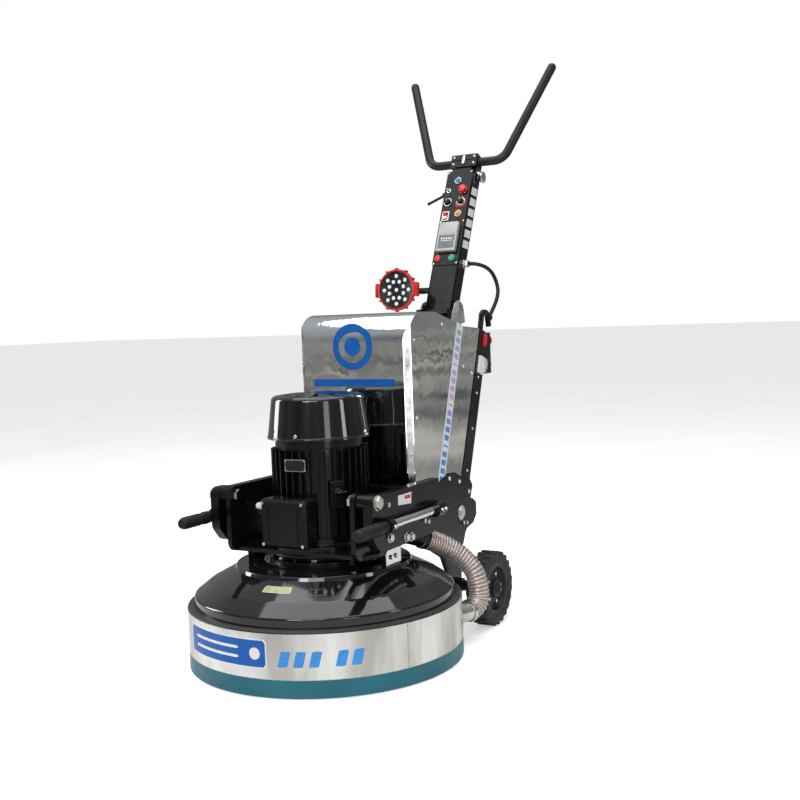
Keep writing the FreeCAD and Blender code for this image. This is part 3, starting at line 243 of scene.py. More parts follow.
def piece(name, form, place, body, finish_key, bevel=0.0, smooth=38):
    """Make one object of a form, in the row frame, riding on a body, with its finish."""
    mesh = bpy.data.meshes.new(name)
    verts, faces = moved(form, place)
    mesh.from_pydata([tuple(v) for v in verts], [], faces)
    mesh.validate()
    mesh.materials.append(M[finish_key])
    item = placed(name, mesh)
    mesh.shade_smooth()
    mesh.set_sharp_from_angle(angle=radians(smooth))
    if bevel > 0:
        edge = item.modifiers.new("edge", "BEVEL")
        edge.width = bevel / 1000
        edge.segments = 2
        edge.limit_method = "ANGLE"
    if body:
        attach(item, body)
    return item


# ---------------------------------------------------------------- materials

def add(nodes, kind, **values):
    """A shader node with some of its inputs or properties set."""
    node = nodes.new(kind)
    for key, value in values.items():
        if key in node.inputs:
            node.inputs[key].default_value = value
        else:
            setattr(node, key, value)
    return node


def noise_field(tree, coordinates, scale, stretch=(1, 1, 1), detail=3.0):
    """A noise value over the object's own coordinates, in cycles per metre."""
    mapping = add(tree.nodes, "ShaderNodeMapping")
    mapping.inputs["Scale"].default_value = stretch
    tree.links.new(coordinates, mapping.inputs["Vector"])
    noise = add(tree.nodes, "ShaderNodeTexNoise", Scale=scale, Detail=detail)
    tree.links.new(mapping.outputs["Vector"], noise.inputs["Vector"])
    return noise.outputs["Fac"]


def remapped(tree, value, low, high, start=0.35, end=0.65):
    """A field stretched to run from low to high."""
    node = add(tree.nodes, "ShaderNodeMapRange")
    node.inputs["From Min"].default_value = start
    node.inputs["From Max"].default_value = end
    node.inputs["To Min"].default_value = low
    node.inputs["To Max"].default_value = high
    tree.links.new(value, node.inputs["Value"])
    return node.outputs["Result"]


def blended(tree, factor, first, second):
    """A colour that runs from first to second with a field."""
    ramp = add(tree.nodes, "ShaderNodeValToRGB")
    ramp.color_ramp.elements[0].color = (*first, 1)
    ramp.color_ramp.elements[1].color = (*second, 1)
    ramp.color_ramp.elements[0].position = 0.36
    ramp.color_ramp.elements[1].position = 0.66
    tree.links.new(factor, ramp.inputs["Fac"])
    return ramp.outputs["Color"]


def surface(name, colour, second=None, rough=(0.3, 0.4), metal=0.0, coat=0.0, patch=14.0,
            stretch=(1, 1, 1), relief=(), soft_edge=0.0, sheen=0.0, clear=0.0, mirror=0.5):
    """A procedural material: two mottled colours, uneven gloss, and relief of one or more grains.

    relief holds (scale, distance in mm) for each grain of bump, and its stretch if it has one.
    """
    material = bpy.data.materials.new(name)
    material.use_nodes = True
    tree = material.node_tree
    shader = tree.nodes["Principled BSDF"]
    for socket, value in (("Metallic", metal), ("Coat Weight", coat), ("Coat Roughness", 0.06),
                          ("Sheen Weight", sheen), ("Specular IOR Level", mirror),
                          ("Transmission Weight", clear)):
        shader.inputs[socket].default_value = value
    coordinates = add(tree.nodes, "ShaderNodeTexCoord").outputs["Object"]
    mottle = noise_field(tree, coordinates, patch, stretch)
    tone = blended(tree, mottle, colour, second or [c * 0.8 for c in colour])
    tree.links.new(tone, shader.inputs["Base Color"])
    gloss = noise_field(tree, coordinates, patch * 2.7, stretch, 5.0)
    tree.links.new(remapped(tree, gloss, *rough), shader.inputs["Roughness"])
    normal = None
    if soft_edge > 0:
        edge = add(tree.nodes, "ShaderNodeBevel", samples=4, Radius=soft_edge / 1000)
        normal = edge.outputs["Normal"]
    for scale, distance, *grain in relief:
        bump = add(tree.nodes, "ShaderNodeBump", Strength=1.0, Distance=distance / 1000)
        height = noise_field(tree, coordinates, scale, grain[0] if grain else (1, 1, 1), 4.0)
        tree.links.new(height, bump.inputs["Height"])
        if normal:
            tree.links.new(normal, bump.inputs["Normal"])
        normal = bump.outputs["Normal"]
    if normal:
        tree.links.new(normal, shader.inputs["Normal"])
    return material


M = {}


def finish(key, name, slot, *look, **detail):
    """Make one finish; slot, the record's slot that its pieces usually take, is not used."""
    M[key] = surface(name, *look, **detail)


def make_blacks():
    """Black paints, castings, rubbers and mouldings."""
    finish("enamel", "black_enamel", "black_enamel", (0.003, 0.004, 0.004), (0.006, 0.007, 0.007),
           (0.14, 0.26), coat=0.15, mirror=0.18, relief=((420, 0.05),), soft_edge=1.2)
    finish("gloss", "gloss_black", "black_enamel", (0.004, 0.005, 0.006), (0.008, 0.009, 0.010),
           (0.04, 0.11), coat=0.6, mirror=0.35, patch=5.0, relief=((9, 0.5), (300, 0.02)))
    finish("cast", "cast_black", "black_cast", (0.003, 0.003, 0.004), (0.007, 0.007, 0.008), (0.20, 0.36),
           coat=0.25, mirror=0.2, relief=((520, 0.14),), soft_edge=1.0)
    finish("foam", "black_foam", "black_rubber", (0.006, 0.006, 0.007), (0.012, 0.012, 0.013), (0.45, 0.62),
           relief=((500, 0.2),), sheen=0.1)
    finish("rubber", "black_rubber", "black_rubber", (0.007, 0.008, 0.010), (0.012, 0.013, 0.016),
           (0.46, 0.62), mirror=0.3, relief=((900, 0.08),), soft_edge=0.8)
    finish("tyre", "tyre_rubber", "black_rubber", (0.018, 0.018, 0.019), (0.034, 0.033, 0.032),
           (0.62, 0.82), patch=30.0, relief=((800, 0.15),), soft_edge=1.2)
    finish("plastic", "moulded_black", "black_plastic", (0.009, 0.009, 0.010), (0.015, 0.015, 0.017),
           (0.30, 0.45), mirror=0.3, relief=((1300, 0.03),), soft_edge=0.5)


def make_metals():
    """Polished, rolled, turned and plated metals."""
    finish("mirror", "polished_steel", "polished_steel", (0.86, 0.88, 0.88), (0.78, 0.80, 0.80),
           (0.02, 0.07), metal=1.0, patch=3.0, relief=((3.6, 3.0, (1, 1, 0.6)), (700, 0.003)))
    finish("band", "rolled_band", "brushed_band", (0.88, 0.87, 0.84), (0.52, 0.50, 0.47), (0.12, 0.32),
           metal=1.0, patch=9.0, stretch=(1, 1, 0.25),
           relief=((900, 0.010, (0.03, 0.03, 1.0)), (7, 1.0, (1, 1, 0.3))))
    finish("machined", "machined_steel", "polished_steel", (0.55, 0.55, 0.56), (0.42, 0.42, 0.43),
           (0.22, 0.36), metal=1.0, relief=((1400, 0.01, (1, 1, 0.1)),))
    finish("aluminium", "cast_aluminium", "cast_aluminium", (0.60, 0.60, 0.61), (0.48, 0.48, 0.49),
           (0.32, 0.5), metal=1.0, relief=((500, 0.06),))
    finish("zinc", "bright_zinc", "zinc_bolts", (0.82, 0.81, 0.78), (0.62, 0.62, 0.60), (0.10, 0.25),
           metal=1.0, patch=120.0, relief=((900, 0.02),))
    finish("chrome", "bright_chrome", "chrome_tube", (0.86, 0.86, 0.86), (0.78, 0.78, 0.79), (0.03, 0.10),
           metal=1.0, relief=((300, 0.01, (1, 0.05, 1)),))
    finish("diamond", "diamond_metal", "machined_steel", (0.34, 0.27, 0.20), (0.20, 0.17, 0.15),
           (0.45, 0.7), metal=0.8, patch=200.0, relief=((900, 0.3),))


def make_colours():
    """Coloured rubber, paint, mouldings and lamps."""
    finish("teal", "teal_rubber", "black_rubber", (0.002, 0.110, 0.150), (0.003, 0.135, 0.185),
           (0.30, 0.44), patch=9.0, relief=((600, 0.03), (12, 0.5, (1, 1, 0.3))))
    finish("red", "moulded_red", "red_plastic", (0.62, 0.015, 0.012), (0.48, 0.010, 0.010), (0.18, 0.32),
           coat=0.5, patch=60.0, relief=((900, 0.02),))
    finish("red_coat", "red_coating", "red_light", (0.60, 0.012, 0.010), (0.46, 0.010, 0.010), (0.26, 0.42),
           coat=0.3, patch=30.0, relief=((800, 0.06),), soft_edge=0.8)
    finish("green", "moulded_green", "green_plastic", (0.01, 0.34, 0.12), (0.01, 0.26, 0.09), (0.18, 0.32),
           coat=0.5, patch=60.0, relief=((900, 0.02),))
    finish("blue", "lamp_blue", "red_plastic", (0.03, 0.16, 0.50), (0.10, 0.35, 0.75), (0.08, 0.2),
           coat=0.8, patch=90.0, relief=((400, 0.05),))
    finish("amber", "lamp_amber", "red_plastic", (0.95, 0.42, 0.06), (0.85, 0.24, 0.04), (0.08, 0.2),
           coat=0.8, patch=90.0, relief=((400, 0.05),))
    finish("nylon", "natural_nylon", "black_plastic", (0.66, 0.63, 0.55), (0.58, 0.55, 0.47), (0.38, 0.5),
           relief=((500, 0.04),))
    finish("light_grey", "grey_enamel", "display_grey", (0.50, 0.51, 0.51), (0.42, 0.43, 0.43),
           (0.30, 0.42), metal=0.3, relief=((420, 0.04),), soft_edge=1.0)
    finish("case_grey", "case_grey", "black_cast", (0.22, 0.23, 0.25), (0.18, 0.19, 0.21), (0.4, 0.55),
           relief=((900, 0.05),), soft_edge=1.0)


def make_clear_things():
    """Suction hose and the display."""
    finish("hose", "smoky_hose", "hose_plastic", (0.33, 0.25, 0.225), (0.46, 0.37, 0.335), (0.12, 0.26),
           coat=0.6, patch=60.0, clear=0.25, relief=((240, 0.10),))
    finish("wire", "hose_wire", "hose_plastic", (0.86, 0.77, 0.73), (0.72, 0.62, 0.58), (0.18, 0.32),
           metal=0.6, coat=0.6, patch=90.0, relief=((500, 0.04),))
    finish("bezel", "display_bezel", "display_grey", (0.46, 0.46, 0.45), (0.38, 0.38, 0.37), (0.35, 0.5),
           metal=0.4, relief=((900, 0.03),), soft_edge=0.5)
    finish("glass", "display_glass", "display_grey", (0.020, 0.028, 0.045), (0.045, 0.060, 0.090),
           (0.05, 0.12), coat=0.9, patch=30.0, relief=((300, 0.01),))


def make_vinyls():
    """Flat stickers."""
    finish("ink_blue", "blue_vinyl", "brushed_band", (0.005, 0.115, 0.44), (0.006, 0.092, 0.38),
           (0.28, 0.40), mirror=0.3, patch=20.0, relief=((260, 0.03),))
    finish("sky", "light_blue_vinyl", "brushed_band", (0.02, 0.27, 0.72), (0.02, 0.23, 0.64), (0.22, 0.34),
           coat=0.3, patch=20.0, relief=((260, 0.03),))
    finish("white", "white_vinyl", "display_grey", (0.80, 0.80, 0.79), (0.72, 0.72, 0.71), (0.28, 0.42),
           patch=30.0, relief=((260, 0.03),))
    finish("lime", "lime_vinyl", "black_enamel", (0.33, 0.40, 0.12), (0.44, 0.48, 0.26), (0.28, 0.42),
           patch=70.0, relief=((260, 0.04),))


def make_lens_glow():
    """The work light's lenses: pale, grainy and dimly lit."""
    colour = (0.92, 0.94, 0.95)
    finish("led", "led_white", "display_grey", colour, rough=(0.05, 0.12), coat=0.6, patch=160.0,
           relief=((500, 0.05),))
    shader = M["led"].node_tree.nodes["Principled BSDF"]
    shader.inputs["Emission Color"].default_value = (*colour, 1)
    shader.inputs["Emission Strength"].default_value = 0.35


def make_fading_print():
    """Side print whose blue turns violet half-way up and back to blue."""
    finish("print", "fading_print", "polished_steel", (0.1, 0.3, 0.8), rough=(0.2, 0.32), coat=0.3,
           relief=((260, 0.03),))
    tree = M["print"].node_tree
    coordinates = next(n for n in tree.nodes if n.type == "TEX_COORD").outputs["Object"]
    split = add(tree.nodes, "ShaderNodeSeparateXYZ")
    tree.links.new(coordinates, split.inputs["Vector"])
    height = remapped(tree, split.outputs["Z"], 0.0, 1.0, 0.46, 1.00)
    ramp = add(tree.nodes, "ShaderNodeValToRGB")
    for at, colour in ((0.0, (0.03, 0.30, 0.66, 1)), (1.0, (0.22, 0.40, 0.66, 1))):
        ramp.color_ramp.elements[int(at)].color = colour
    for at, colour in ((0.35, (0.05, 0.24, 0.70, 1)), (0.55, (0.55, 0.36, 0.80, 1)),
                       (0.72, (0.50, 0.42, 0.80, 1))):
        ramp.color_ramp.elements.new(at).color = colour
    tree.links.new(height, ramp.inputs["Fac"])
    tree.links.new(ramp.outputs["Color"], tree.nodes["Principled BSDF"].inputs["Base Color"])


def make_materials():
    """Every finish on the machine."""
    make_blacks()
    make_metals()
    make_colours()
    make_clear_things()
    make_vinyls()
    make_lens_glow()
    make_fading_print()


def dress_nodes():
    """Give every CAD node its finish."""
    by_finish = {
        "enamel": ("left_side_plate right_side_plate arm_frame wheel_axle rear_frame head_yoke column_tube "
                   "control_plate handlebar_clamp control_lever terminal_lid dust_pipe"),
        "gloss": "head_cover fan_cowl",
        "cast": "bell_housing motor_frame terminal_box",
        "mirror": "cabinet_cover",
        "band": "shroud_band dust_port",
        "machined": ("ring_gear sun_gear rotor_shaft spindle_bearings planet_spindle_1 planet_spindle_2 "
                     "planet_spindle_3 planet_spindle_4 grinding_disc_1 grinding_disc_2 grinding_disc_3 "
                     "grinding_disc_4"),
        "aluminium": "carrier_plate",
        "zinc": "chassis_bolts head_bolts pivot_pins",
        "chrome": "handle_guides",
        "teal": "shroud_skirt",
        "foam": "rim_seal",
        "rubber": "left_carry_handle right_carry_handle control_cable",
        "tyre": "left_tyre right_tyre",
        "hose": "dust_hose",
        "plastic": "left_rim right_rim isolator_box cooling_fan speed_knob mode_knob handlebar",
        "red": "emergency_button stop_button rocker_switch isolator_knob",
        "red_coat": "work_light",
        "green": "start_button",
        "bezel": "display_unit",
        "case_grey": "motor_inverter",
    }
    for finish, names in by_finish.items():
        for name in names.split():
            mesh = NODES[name].data
            mesh.materials.clear()
            mesh.materials.append(M[finish])


# ---------------------------------------------------------------- hose and cable

HOSE_ROUTE = [(344, 284, 100), (363.6, 338, 100), (358, 338, 202), (320, 330, 256), (274, 302, 298),
              (236, 248, 328), (224, 214, 342)]
CABLE_ROUTE = [(76, 925, 1219.2), (112, 925, 1219.2), (140, 985, 1194), (158, 1002, 1130),
               (172, 958, 1088), (184, 898.9, 1056), (184, 860.5, 1024)]


def follow(name, route):
    """Points along the smooth line of a route, in the row frame."""
    curve = bpy.data.curves.new(name, "CURVE")
    curve.dimensions = "3D"
    spline = curve.splines.new("NURBS")
    spline.points.add(len(route) - 1)
    for point, at in zip(spline.points, route):
        point.co = (*(FLOOR @ Vector(at)), 1.0)
    spline.order_u = 3
    spline.use_endpoint_u = True
    spline.resolution_u = 48
    holder = placed(name, curve)
    bpy.context.view_layer.update()
    line = bpy.data.meshes.new_from_object(holder)
    points = [v.co.copy() for v in line.vertices]
    bpy.data.objects.remove(holder)
    return points


def evenly(points, count):
    """The same line cut into equal steps."""
    reach = [0.0]
    for here, after in zip(points, points[1:]):
        reach.append(reach[-1] + (after - here).length)
    even, at = [], 0
    for step in range(count + 1):
        target = reach[-1] * step / count
        while at < len(points) - 2 and reach[at + 1] < target:
            at += 1
        span = max(reach[at + 1] - reach[at], 1e-9)
        even.append(points[at].lerp(points[at + 1], min(1.0, (target - reach[at]) / span)))
    return even, reach[-1]


def coiled(points, radius, pitch, length, per_turn=22):
    """Points of a helix wound round a line that is cut into equal steps."""
    turns = length / pitch
    count = int(turns * per_turn)
    coil = []
    side = (points[1] - points[0]).orthogonal().normalized()
    last = len(points) - 1
    for step in range(count + 1):
        at = last * step / count
        low = min(int(at), last - 1)
        ahead = (points[low + 1] - points[low]).normalized()
        side = (side - ahead * side.dot(ahead)).normalized()
        angle = 2 * pi * turns * step / count
        out = side * cos(angle) + ahead.cross(side) * sin(angle)
        coil.append(points[low].lerp(points[low + 1], at - low) + out * radius)
    return coil


def make_hose():
    """Suction hose between the shroud's stub and the chassis pipe: film, steel coil and clamps."""
    steps, cuff = 270, 20
    pitch, film_radius, wave = 0.0112, 0.0308, 0.0010
    coil_radius, wire_radius = 0.0318, 0.0018
    points, length = evenly(follow("hose_line", HOSE_ROUTE), steps)
    radii = [film_radius + wave * cos(2 * pi * length * i / steps / pitch) for i in range(steps + 1)]
    film = piece("hose_film", tube(points, radii, 40), Matrix(), None, "hose", smooth=70)
    line = coiled(points, coil_radius, pitch, length)
    coil = piece("hose_coil", tube(line, [wire_radius] * len(line), 8), Matrix(), None, "wire", smooth=80)
    for part in (film, coil):
        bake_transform(part)
    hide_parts("dust_hose")
    make_hose_clamp("port_clamp", points[0], points[1], "head", "zinc")
    make_hose_clamp("pipe_clamp", points[-1], points[-2], "chassis", "enamel")


def make_hose_clamp(name, end, inner, body, finish_key):
    """Worm-drive band clamp round one end of the hose."""
    band = lathe([(34.2, 3), (35.6, 3), (35.6, 15), (34.2, 15)], 64)
    housing = moved(prism(rounded(9, 7, 2), 0, 6), facing((1, 0, 0), (35, 0, 9)))
    screw = moved(lathe([(0, -14), (3.6, -14), (3.6, -11), (2.4, -11), (2.4, 11), (0, 11)], 16),
                  facing((0, 1, 0), (40, 0, 9)))
    place = facing(inner - end, end) @ MM
    piece(name, merged(band, housing, screw), place, body, finish_key, bevel=0.4)


def make_cable():
    """Control cable from the column's gland to the conduit inlet on the rear post."""
    points, length = evenly(follow("cable_line", CABLE_ROUTE), 120)
    cable = piece("control_cord", tube(points, [0.007] * 121, 20), Matrix(), None, "rubber", smooth=80)
    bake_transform(cable)
    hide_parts("control_cable")
    sleeve = lathe([(12.4, 54), (17, 54), (17, 60), (14.2, 61), (14.2, 70), (12, 75), (7.6, 77)], 32)
    flats = prism(hexagon(34), 55, 61)
    place = COLUMN @ shift((0, 41, 182)) @ Matrix.Rotation(radians(90), 4, "Y")
    piece("column_gland", merged(sleeve, flats), place, "column", "zinc", bevel=0.5)


# ---------------------------------------------------------------- grinding head

def on_band(angle, height):
    """Lay a patch on the shroud band's outside about an angle and a height."""
    def lay(u, v, depth):
        turn = radians(angle) + u / BAND_RADIUS
        out = BAND_RADIUS + depth
        return (out * cos(turn), out * sin(turn), height + v)
    return lay


def on_cone(angle, radius):
    """Lay a patch on the cover's cone about an angle and a radius."""
    slope = atan2(41, 81)
    height = 252 + (351 - radius) * tan(slope)

    def lay(u, v, depth):
        along = radius - v * cos(slope) + depth * sin(slope)
        turn = radians(angle) + u / radius
        return (along * cos(turn), along * sin(turn),
                height + v * sin(slope) + depth * cos(slope))
    return lay


def slanted(width, height, lean, lay):
    """A leaning block on a curved wall."""
    def leaning(u, v, depth):
        return lay(u + v * lean, v, depth)
    return wrapped(width, height, 2.0, leaning, thick=0.5, steps=6)


def make_band_marks():
    """Plain blue badge and slanted blocks on the band, and its welded seam."""
    badge = on_band(BADGE_ANGLE, BAND_HEIGHT)
    piece("badge_border", wrapped(330, 82, 9, badge, 0.25, 48), FLOOR, "shroud", "white")
    piece("badge_field", wrapped(323, 75, 8, badge, 0.5, 48), FLOOR, "shroud", "ink_blue")
    disc = wrapped(34, 34, 16.9, on_band(-85, BAND_HEIGHT), 0.75, 28)
    bars = [wrapped(200, 8, 3, on_band(-106, BAND_HEIGHT + v), 0.75, 24) for v in (-13, 13)]
    piece("badge_marks", merged(disc, *bars), FLOOR, "shroud", "white")
    blocks = [slanted(28, 44, 0.25, on_band(angle, 113)) for angle in (-73, -67, -61, -51, -45)]
    piece("band_blocks", merged(*blocks), FLOOR, "shroud", "sky")
    seam = [wrapped(1.6, 124, 0.7, on_band(angle, 119), 0.7, 6) for angle in (-24, 156)]
    piece("band_seams", merged(*seam), FLOOR, "shroud", "machined")
    lip = lathe([(417, 54.6), (420.0, 54.6), (420.0, 56.2), (419.2, 57.2)], 160)
    piece("skirt_retainer", lip, FLOOR, "shroud", "machined")


def make_cover_marks():
    """Plain label and oval badge on the cone, and the cover's pressed rings."""
    label = on_cone(-83, 304)
    piece("cone_label_edge", wrapped(87, 27, 3, label, 0.4, 24), FLOOR, "head", "white")
    piece("cone_label", wrapped(84, 24, 2, label, 0.7, 24), FLOOR, "head", "lime")
    badge = on_cone(-61, 312)
    piece("cone_badge_rim", wrapped(62, 27, 13, badge, 0.9, 24), FLOOR, "head", "diamond")
    piece("cone_badge", wrapped(59, 24.4, 11.8, badge, 1.3, 24), FLOOR, "head", "gloss")
    ring = lathe([(191, 311.0), (187, 313.2), (180, 313.2), (177, 311.0)], 128)
    piece("cover_ring", ring, FLOOR, "head", "gloss", smooth=60)


def make_disc_segments():
    """Two round diamond segments on each shoe, and the screws of each tool disc."""
    stud = lathe([(0, 0), (10, 0), (11, 1.2), (11, 2.6), (0, 2.6)], 24)
    for index in range(4):
        turn = Matrix.Rotation(radians(90 * index + 45), 4, "Z")
        place = FLOOR @ turn @ shift((255, 0, 0))
        pair = merged(*(moved(stud, shift((107, side, 0))) for side in (12, -12)))
        piece(f"segments_{index + 1}", repeated(pair, 3), place, f"planet_{index + 1}", "diamond")
        screw = prism(hexagon(13), 26, 31)
        piece(f"disc_screws_{index + 1}", repeated(screw, 6, 80), place, f"planet_{index + 1}", "zinc",
              bevel=0.5)


# ---------------------------------------------------------------- motor

def round_screw(radius, height):
    """Domed screw head with a cross recess's rim."""
    return lathe([(0, height * 0.55), (radius * 0.35, height * 0.55), (radius * 0.42, height),
                  (radius * 0.7, height * 0.9), (radius, height * 0.35), (radius, 0)], 24)


def at_bearing(angle, radius, height):
    """Matrix that faces outwards from the head's axis."""
    turn = radians(angle)
    out = Vector((cos(turn), sin(turn), 0))
    return facing(out, out * radius + Vector((0, 0, height)))


def make_motor_details():
    """Screws, rating plate, lifting eyes, cowl bead and the terminal box's cable gland."""
    screws = [moved(round_screw(6.5, 4.5), at_bearing(a, 154.6, 694.6)) for a in (-83, 7, 97, 187)]
    piece("cowl_screws", merged(*screws), FLOOR, "head", "zinc")
    bead = lathe([(155.4, 681), (157.2, 683), (157.2, 686), (155.4, 688)], 96)
    piece("cowl_bead", bead, FLOOR, "head", "gloss", smooth=70)
    place = at_bearing(-86, 148.6, 609)
    plate = moved(prism(rounded(35, 18, 3), 0, 1.6), place)
    piece("rating_plate", plate, FLOOR, "head", "case_grey", bevel=0.3)
    rivets = [moved(round_screw(2.4, 2.0), place @ shift((u, v, 1.4)))
              for u in (-31, 31) for v in (-14, 14)]
    piece("plate_rivets", merged(*rivets), FLOOR, "head", "zinc")
    field = moved(prism(rounded(32.5, 15.5, 2), 1.5, 2.1), place)
    piece("plate_field", field, FLOOR, "head", "plastic")
    for name, angle in (("front", -38), ("rear", 142)):
        make_lifting_eye(name, angle)
    make_box_gland()
    bars = [moved(prism(rounded(1.0, 52, 0.9), 0, 2.4), facing((0, -1, 0), (x, LID_FRONT + 0.1, 444)))
            for x in (-52, 52)]
    piece("lid_beads", merged(*bars), FLOOR, "head", "enamel", bevel=0.4)


def make_lifting_eye(name, angle):
    """Cast pad on the motor's side with a bolted lifting eye."""
    pad = moved(prism(rounded(21, 40, 7), -14, 6), at_bearing(angle, 146, 520))
    piece(f"{name}_lifting_pad", pad, FLOOR, "head", "cast", bevel=2.0)
    profile = [(22 + 5 * cos(radians(30 * i)), 5 * sin(radians(30 * i)))
               for i in range(13)]
    ring = moved(lathe(profile, 40), facing((0, 1, 0), (0, 0, 26)))
    foot = lathe([(0, -6), (13, -6), (15, 0), (11, 5), (6, 8), (0, 8)], 24)
    place = at_bearing(angle, 152, 530) @ Matrix.Scale(0.72, 4)
    piece(f"{name}_lifting_eye", moved(merged(ring, foot), place), FLOOR, "head", "cast", smooth=60)


def make_box_gland():
    """Nylon cable gland on the terminal box's left side, closed by its plug."""
    gland = merged(lathe([(0, 34), (7, 34), (9, 31), (11.5, 20), (11.5, 12), (10, 11), (10, 0)], 28),
                   prism(hexagon(30), 1, 9))
    place = FLOOR @ facing((-1, 0, 0), (-80, -176, 489))
    piece("box_gland", gland, place, "head", "nylon", bevel=0.6)


# ---------------------------------------------------------------- arms and chassis

def on_side(sign, x, outline, thick):
    """A plate drawn as (y, z) points on the side of the machine, rising outwards."""
    verts = [Vector((sign * x, y, z)) for y, z in outline]
    verts += [Vector((sign * (x + thick), y, z)) for y, z in outline]
    count = len(outline)
    faces = [tuple(range(count)), tuple(reversed(range(count, 2 * count)))]
    for index in range(count):
        follow_on = (index + 1) % count
        faces.append((index, count + index, count + follow_on, follow_on))
    return verts, faces


def side_screw(sign, x, y, z, radius=6.0, height=3.5):
    """A domed screw on a side wall."""
    return moved(round_screw(radius, height), beside(sign, x, y, z))


def make_arm_details():
    """Blank sticker, adjuster bolts, stay plates and the washers of the pivots."""
    sticker = on_side(1, ARM_OUTSIDE + 0.1, [(-31, 486), (47, 480), (49, 514), (-30, 514)], 0.5)
    piece("arm_sticker", sticker, FLOOR, "chassis", "white")
    stripe = on_side(1, ARM_OUTSIDE + 0.5, [(8, 498), (42, 497), (43, 508), (8, 509)], 0.3)
    piece("sticker_stripe", stripe, FLOOR, "chassis", "red")
    for name, sign in SIDES:
        bolts = []
        for y, z, across in ((-85, 400, 24), (10, 384, 22), (40, 380, 22)):
            place = beside(sign, ARM_OUTSIDE, y, z)
            bolts.append(moved(merged(lathe([(0, 0), (across * 0.62, 0), (across * 0.62, 2), (0, 2)], 28),
                                      prism(hexagon(across), 1.8, 9)), place))
        piece(f"{name}_adjusters", merged(*bolts), FLOOR, "chassis", "zinc", bevel=0.7)
        stay = on_side(sign, 250.1, [(-52, 301), (26, 301), (34, 309), (34, 352), (-46, 352), (-52, 344)],
                       3.0)
        nuts = [moved(prism(hexagon(15), 0, 6), beside(sign, 253, y, 329))
                for y in (-24, 4)]
        piece(f"{name}_stay_plate", merged(stay, *nuts), FLOOR, "head", "mirror", bevel=0.5)
        front = lathe([(17, 0), (22, 0), (22, 2.4), (17, 2.4), (17, 0)], 40)
        rear = lathe([(15, 0), (25, 0), (25, 2.0), (15, 2.0), (15, 0)], 40)
        washers = [moved(front, beside(sign, ARM_OUTSIDE + 0.1, -151, 512)),
                   moved(rear, beside(sign, PLATE_OUTSIDE + 0.1, 549, 362))]
        piece(f"{name}_washers", merged(*washers), FLOOR, "chassis", "zinc")
        make_collar_details(name, sign)


def make_collar_details(name, sign):
    """Cap screws of the two collars that hold a handle's guide tube."""
    parts = []
    for start, length in ((-140, 24), (150, 44)):
        for offset in ((0,) if length < 30 else (-11, 11)):
            place = beside(sign, COLLAR_OUTSIDE, start + length / 2 + offset, GUIDE_Z)
            head = lathe([(0, 1.5), (2.6, 1.5), (2.9, 5), (5.6, 5), (6, 4.2), (6, 0)], 24)
            parts.append(moved(head, place))
    piece(f"{name}_collar_screws", merged(*parts), FLOOR, "chassis", "zinc")


def make_grips():
    """Ribs moulded round each carry handle's grip."""
    for name, x in (("left", -GUIDE_X), ("right", GUIDE_X)):
        ribs = [lathe([(17.0, z), (18.8, z + 1.2), (18.8, z + 3.8), (17.0, z + 5)], 36)
                for z in range(-284, -214, 9)]
        place = FLOOR @ shift((x, 0, GUIDE_Z)) @ Matrix.Rotation(radians(-90), 4, "X")
        piece(f"{name}_grip_ribs", merged(*ribs), place, f"{name}_handle", "rubber", smooth=60)


def make_gussets():
    """Dark plates outside the cabinet's lower corners, with their screws."""
    outline = [(262, 412), (330, 470), (392, 494), (440, 510), (492, 508), (548, 484), (604, 470),
               (622, 446), (604, 404), (520, 400), (300, 402)]
    for name, sign in SIDES:
        gusset = on_side(sign, CABINET_SIDE + 0.2, outline, 6.0)
        piece(f"{name}_gusset", gusset, FLOOR, "chassis", "enamel", bevel=1.2)
        screws = [side_screw(sign, CABINET_SIDE + 6, y, z, 8.0, 5.0)
                  for y, z in ((448, 494), (520, 474), (330, 432), (590, 430))]
        piece(f"{name}_gusset_screws", merged(*screws), FLOOR, "chassis", "zinc")


def make_wheel_details():
    """Hub caps and the bolts of each rim."""
    for name, sign in SIDES:
        place = FLOOR @ beside(sign, WHEEL_X, WHEEL_Y, WHEEL_Z)
        cap = lathe([(0, 41), (9, 41), (13, 38), (15, 32), (22, 30), (25, 26), (25, 20)], 36)
        bolts = repeated(prism(hexagon(13), 12, 18), 5, 48)
        piece(f"{name}_hub_cap", cap, place, f"{name}_wheel", "plastic")
        piece(f"{name}_rim_bolts", bolts, place, f"{name}_wheel", "zinc", bevel=0.5)


# ---------------------------------------------------------------- cabinet

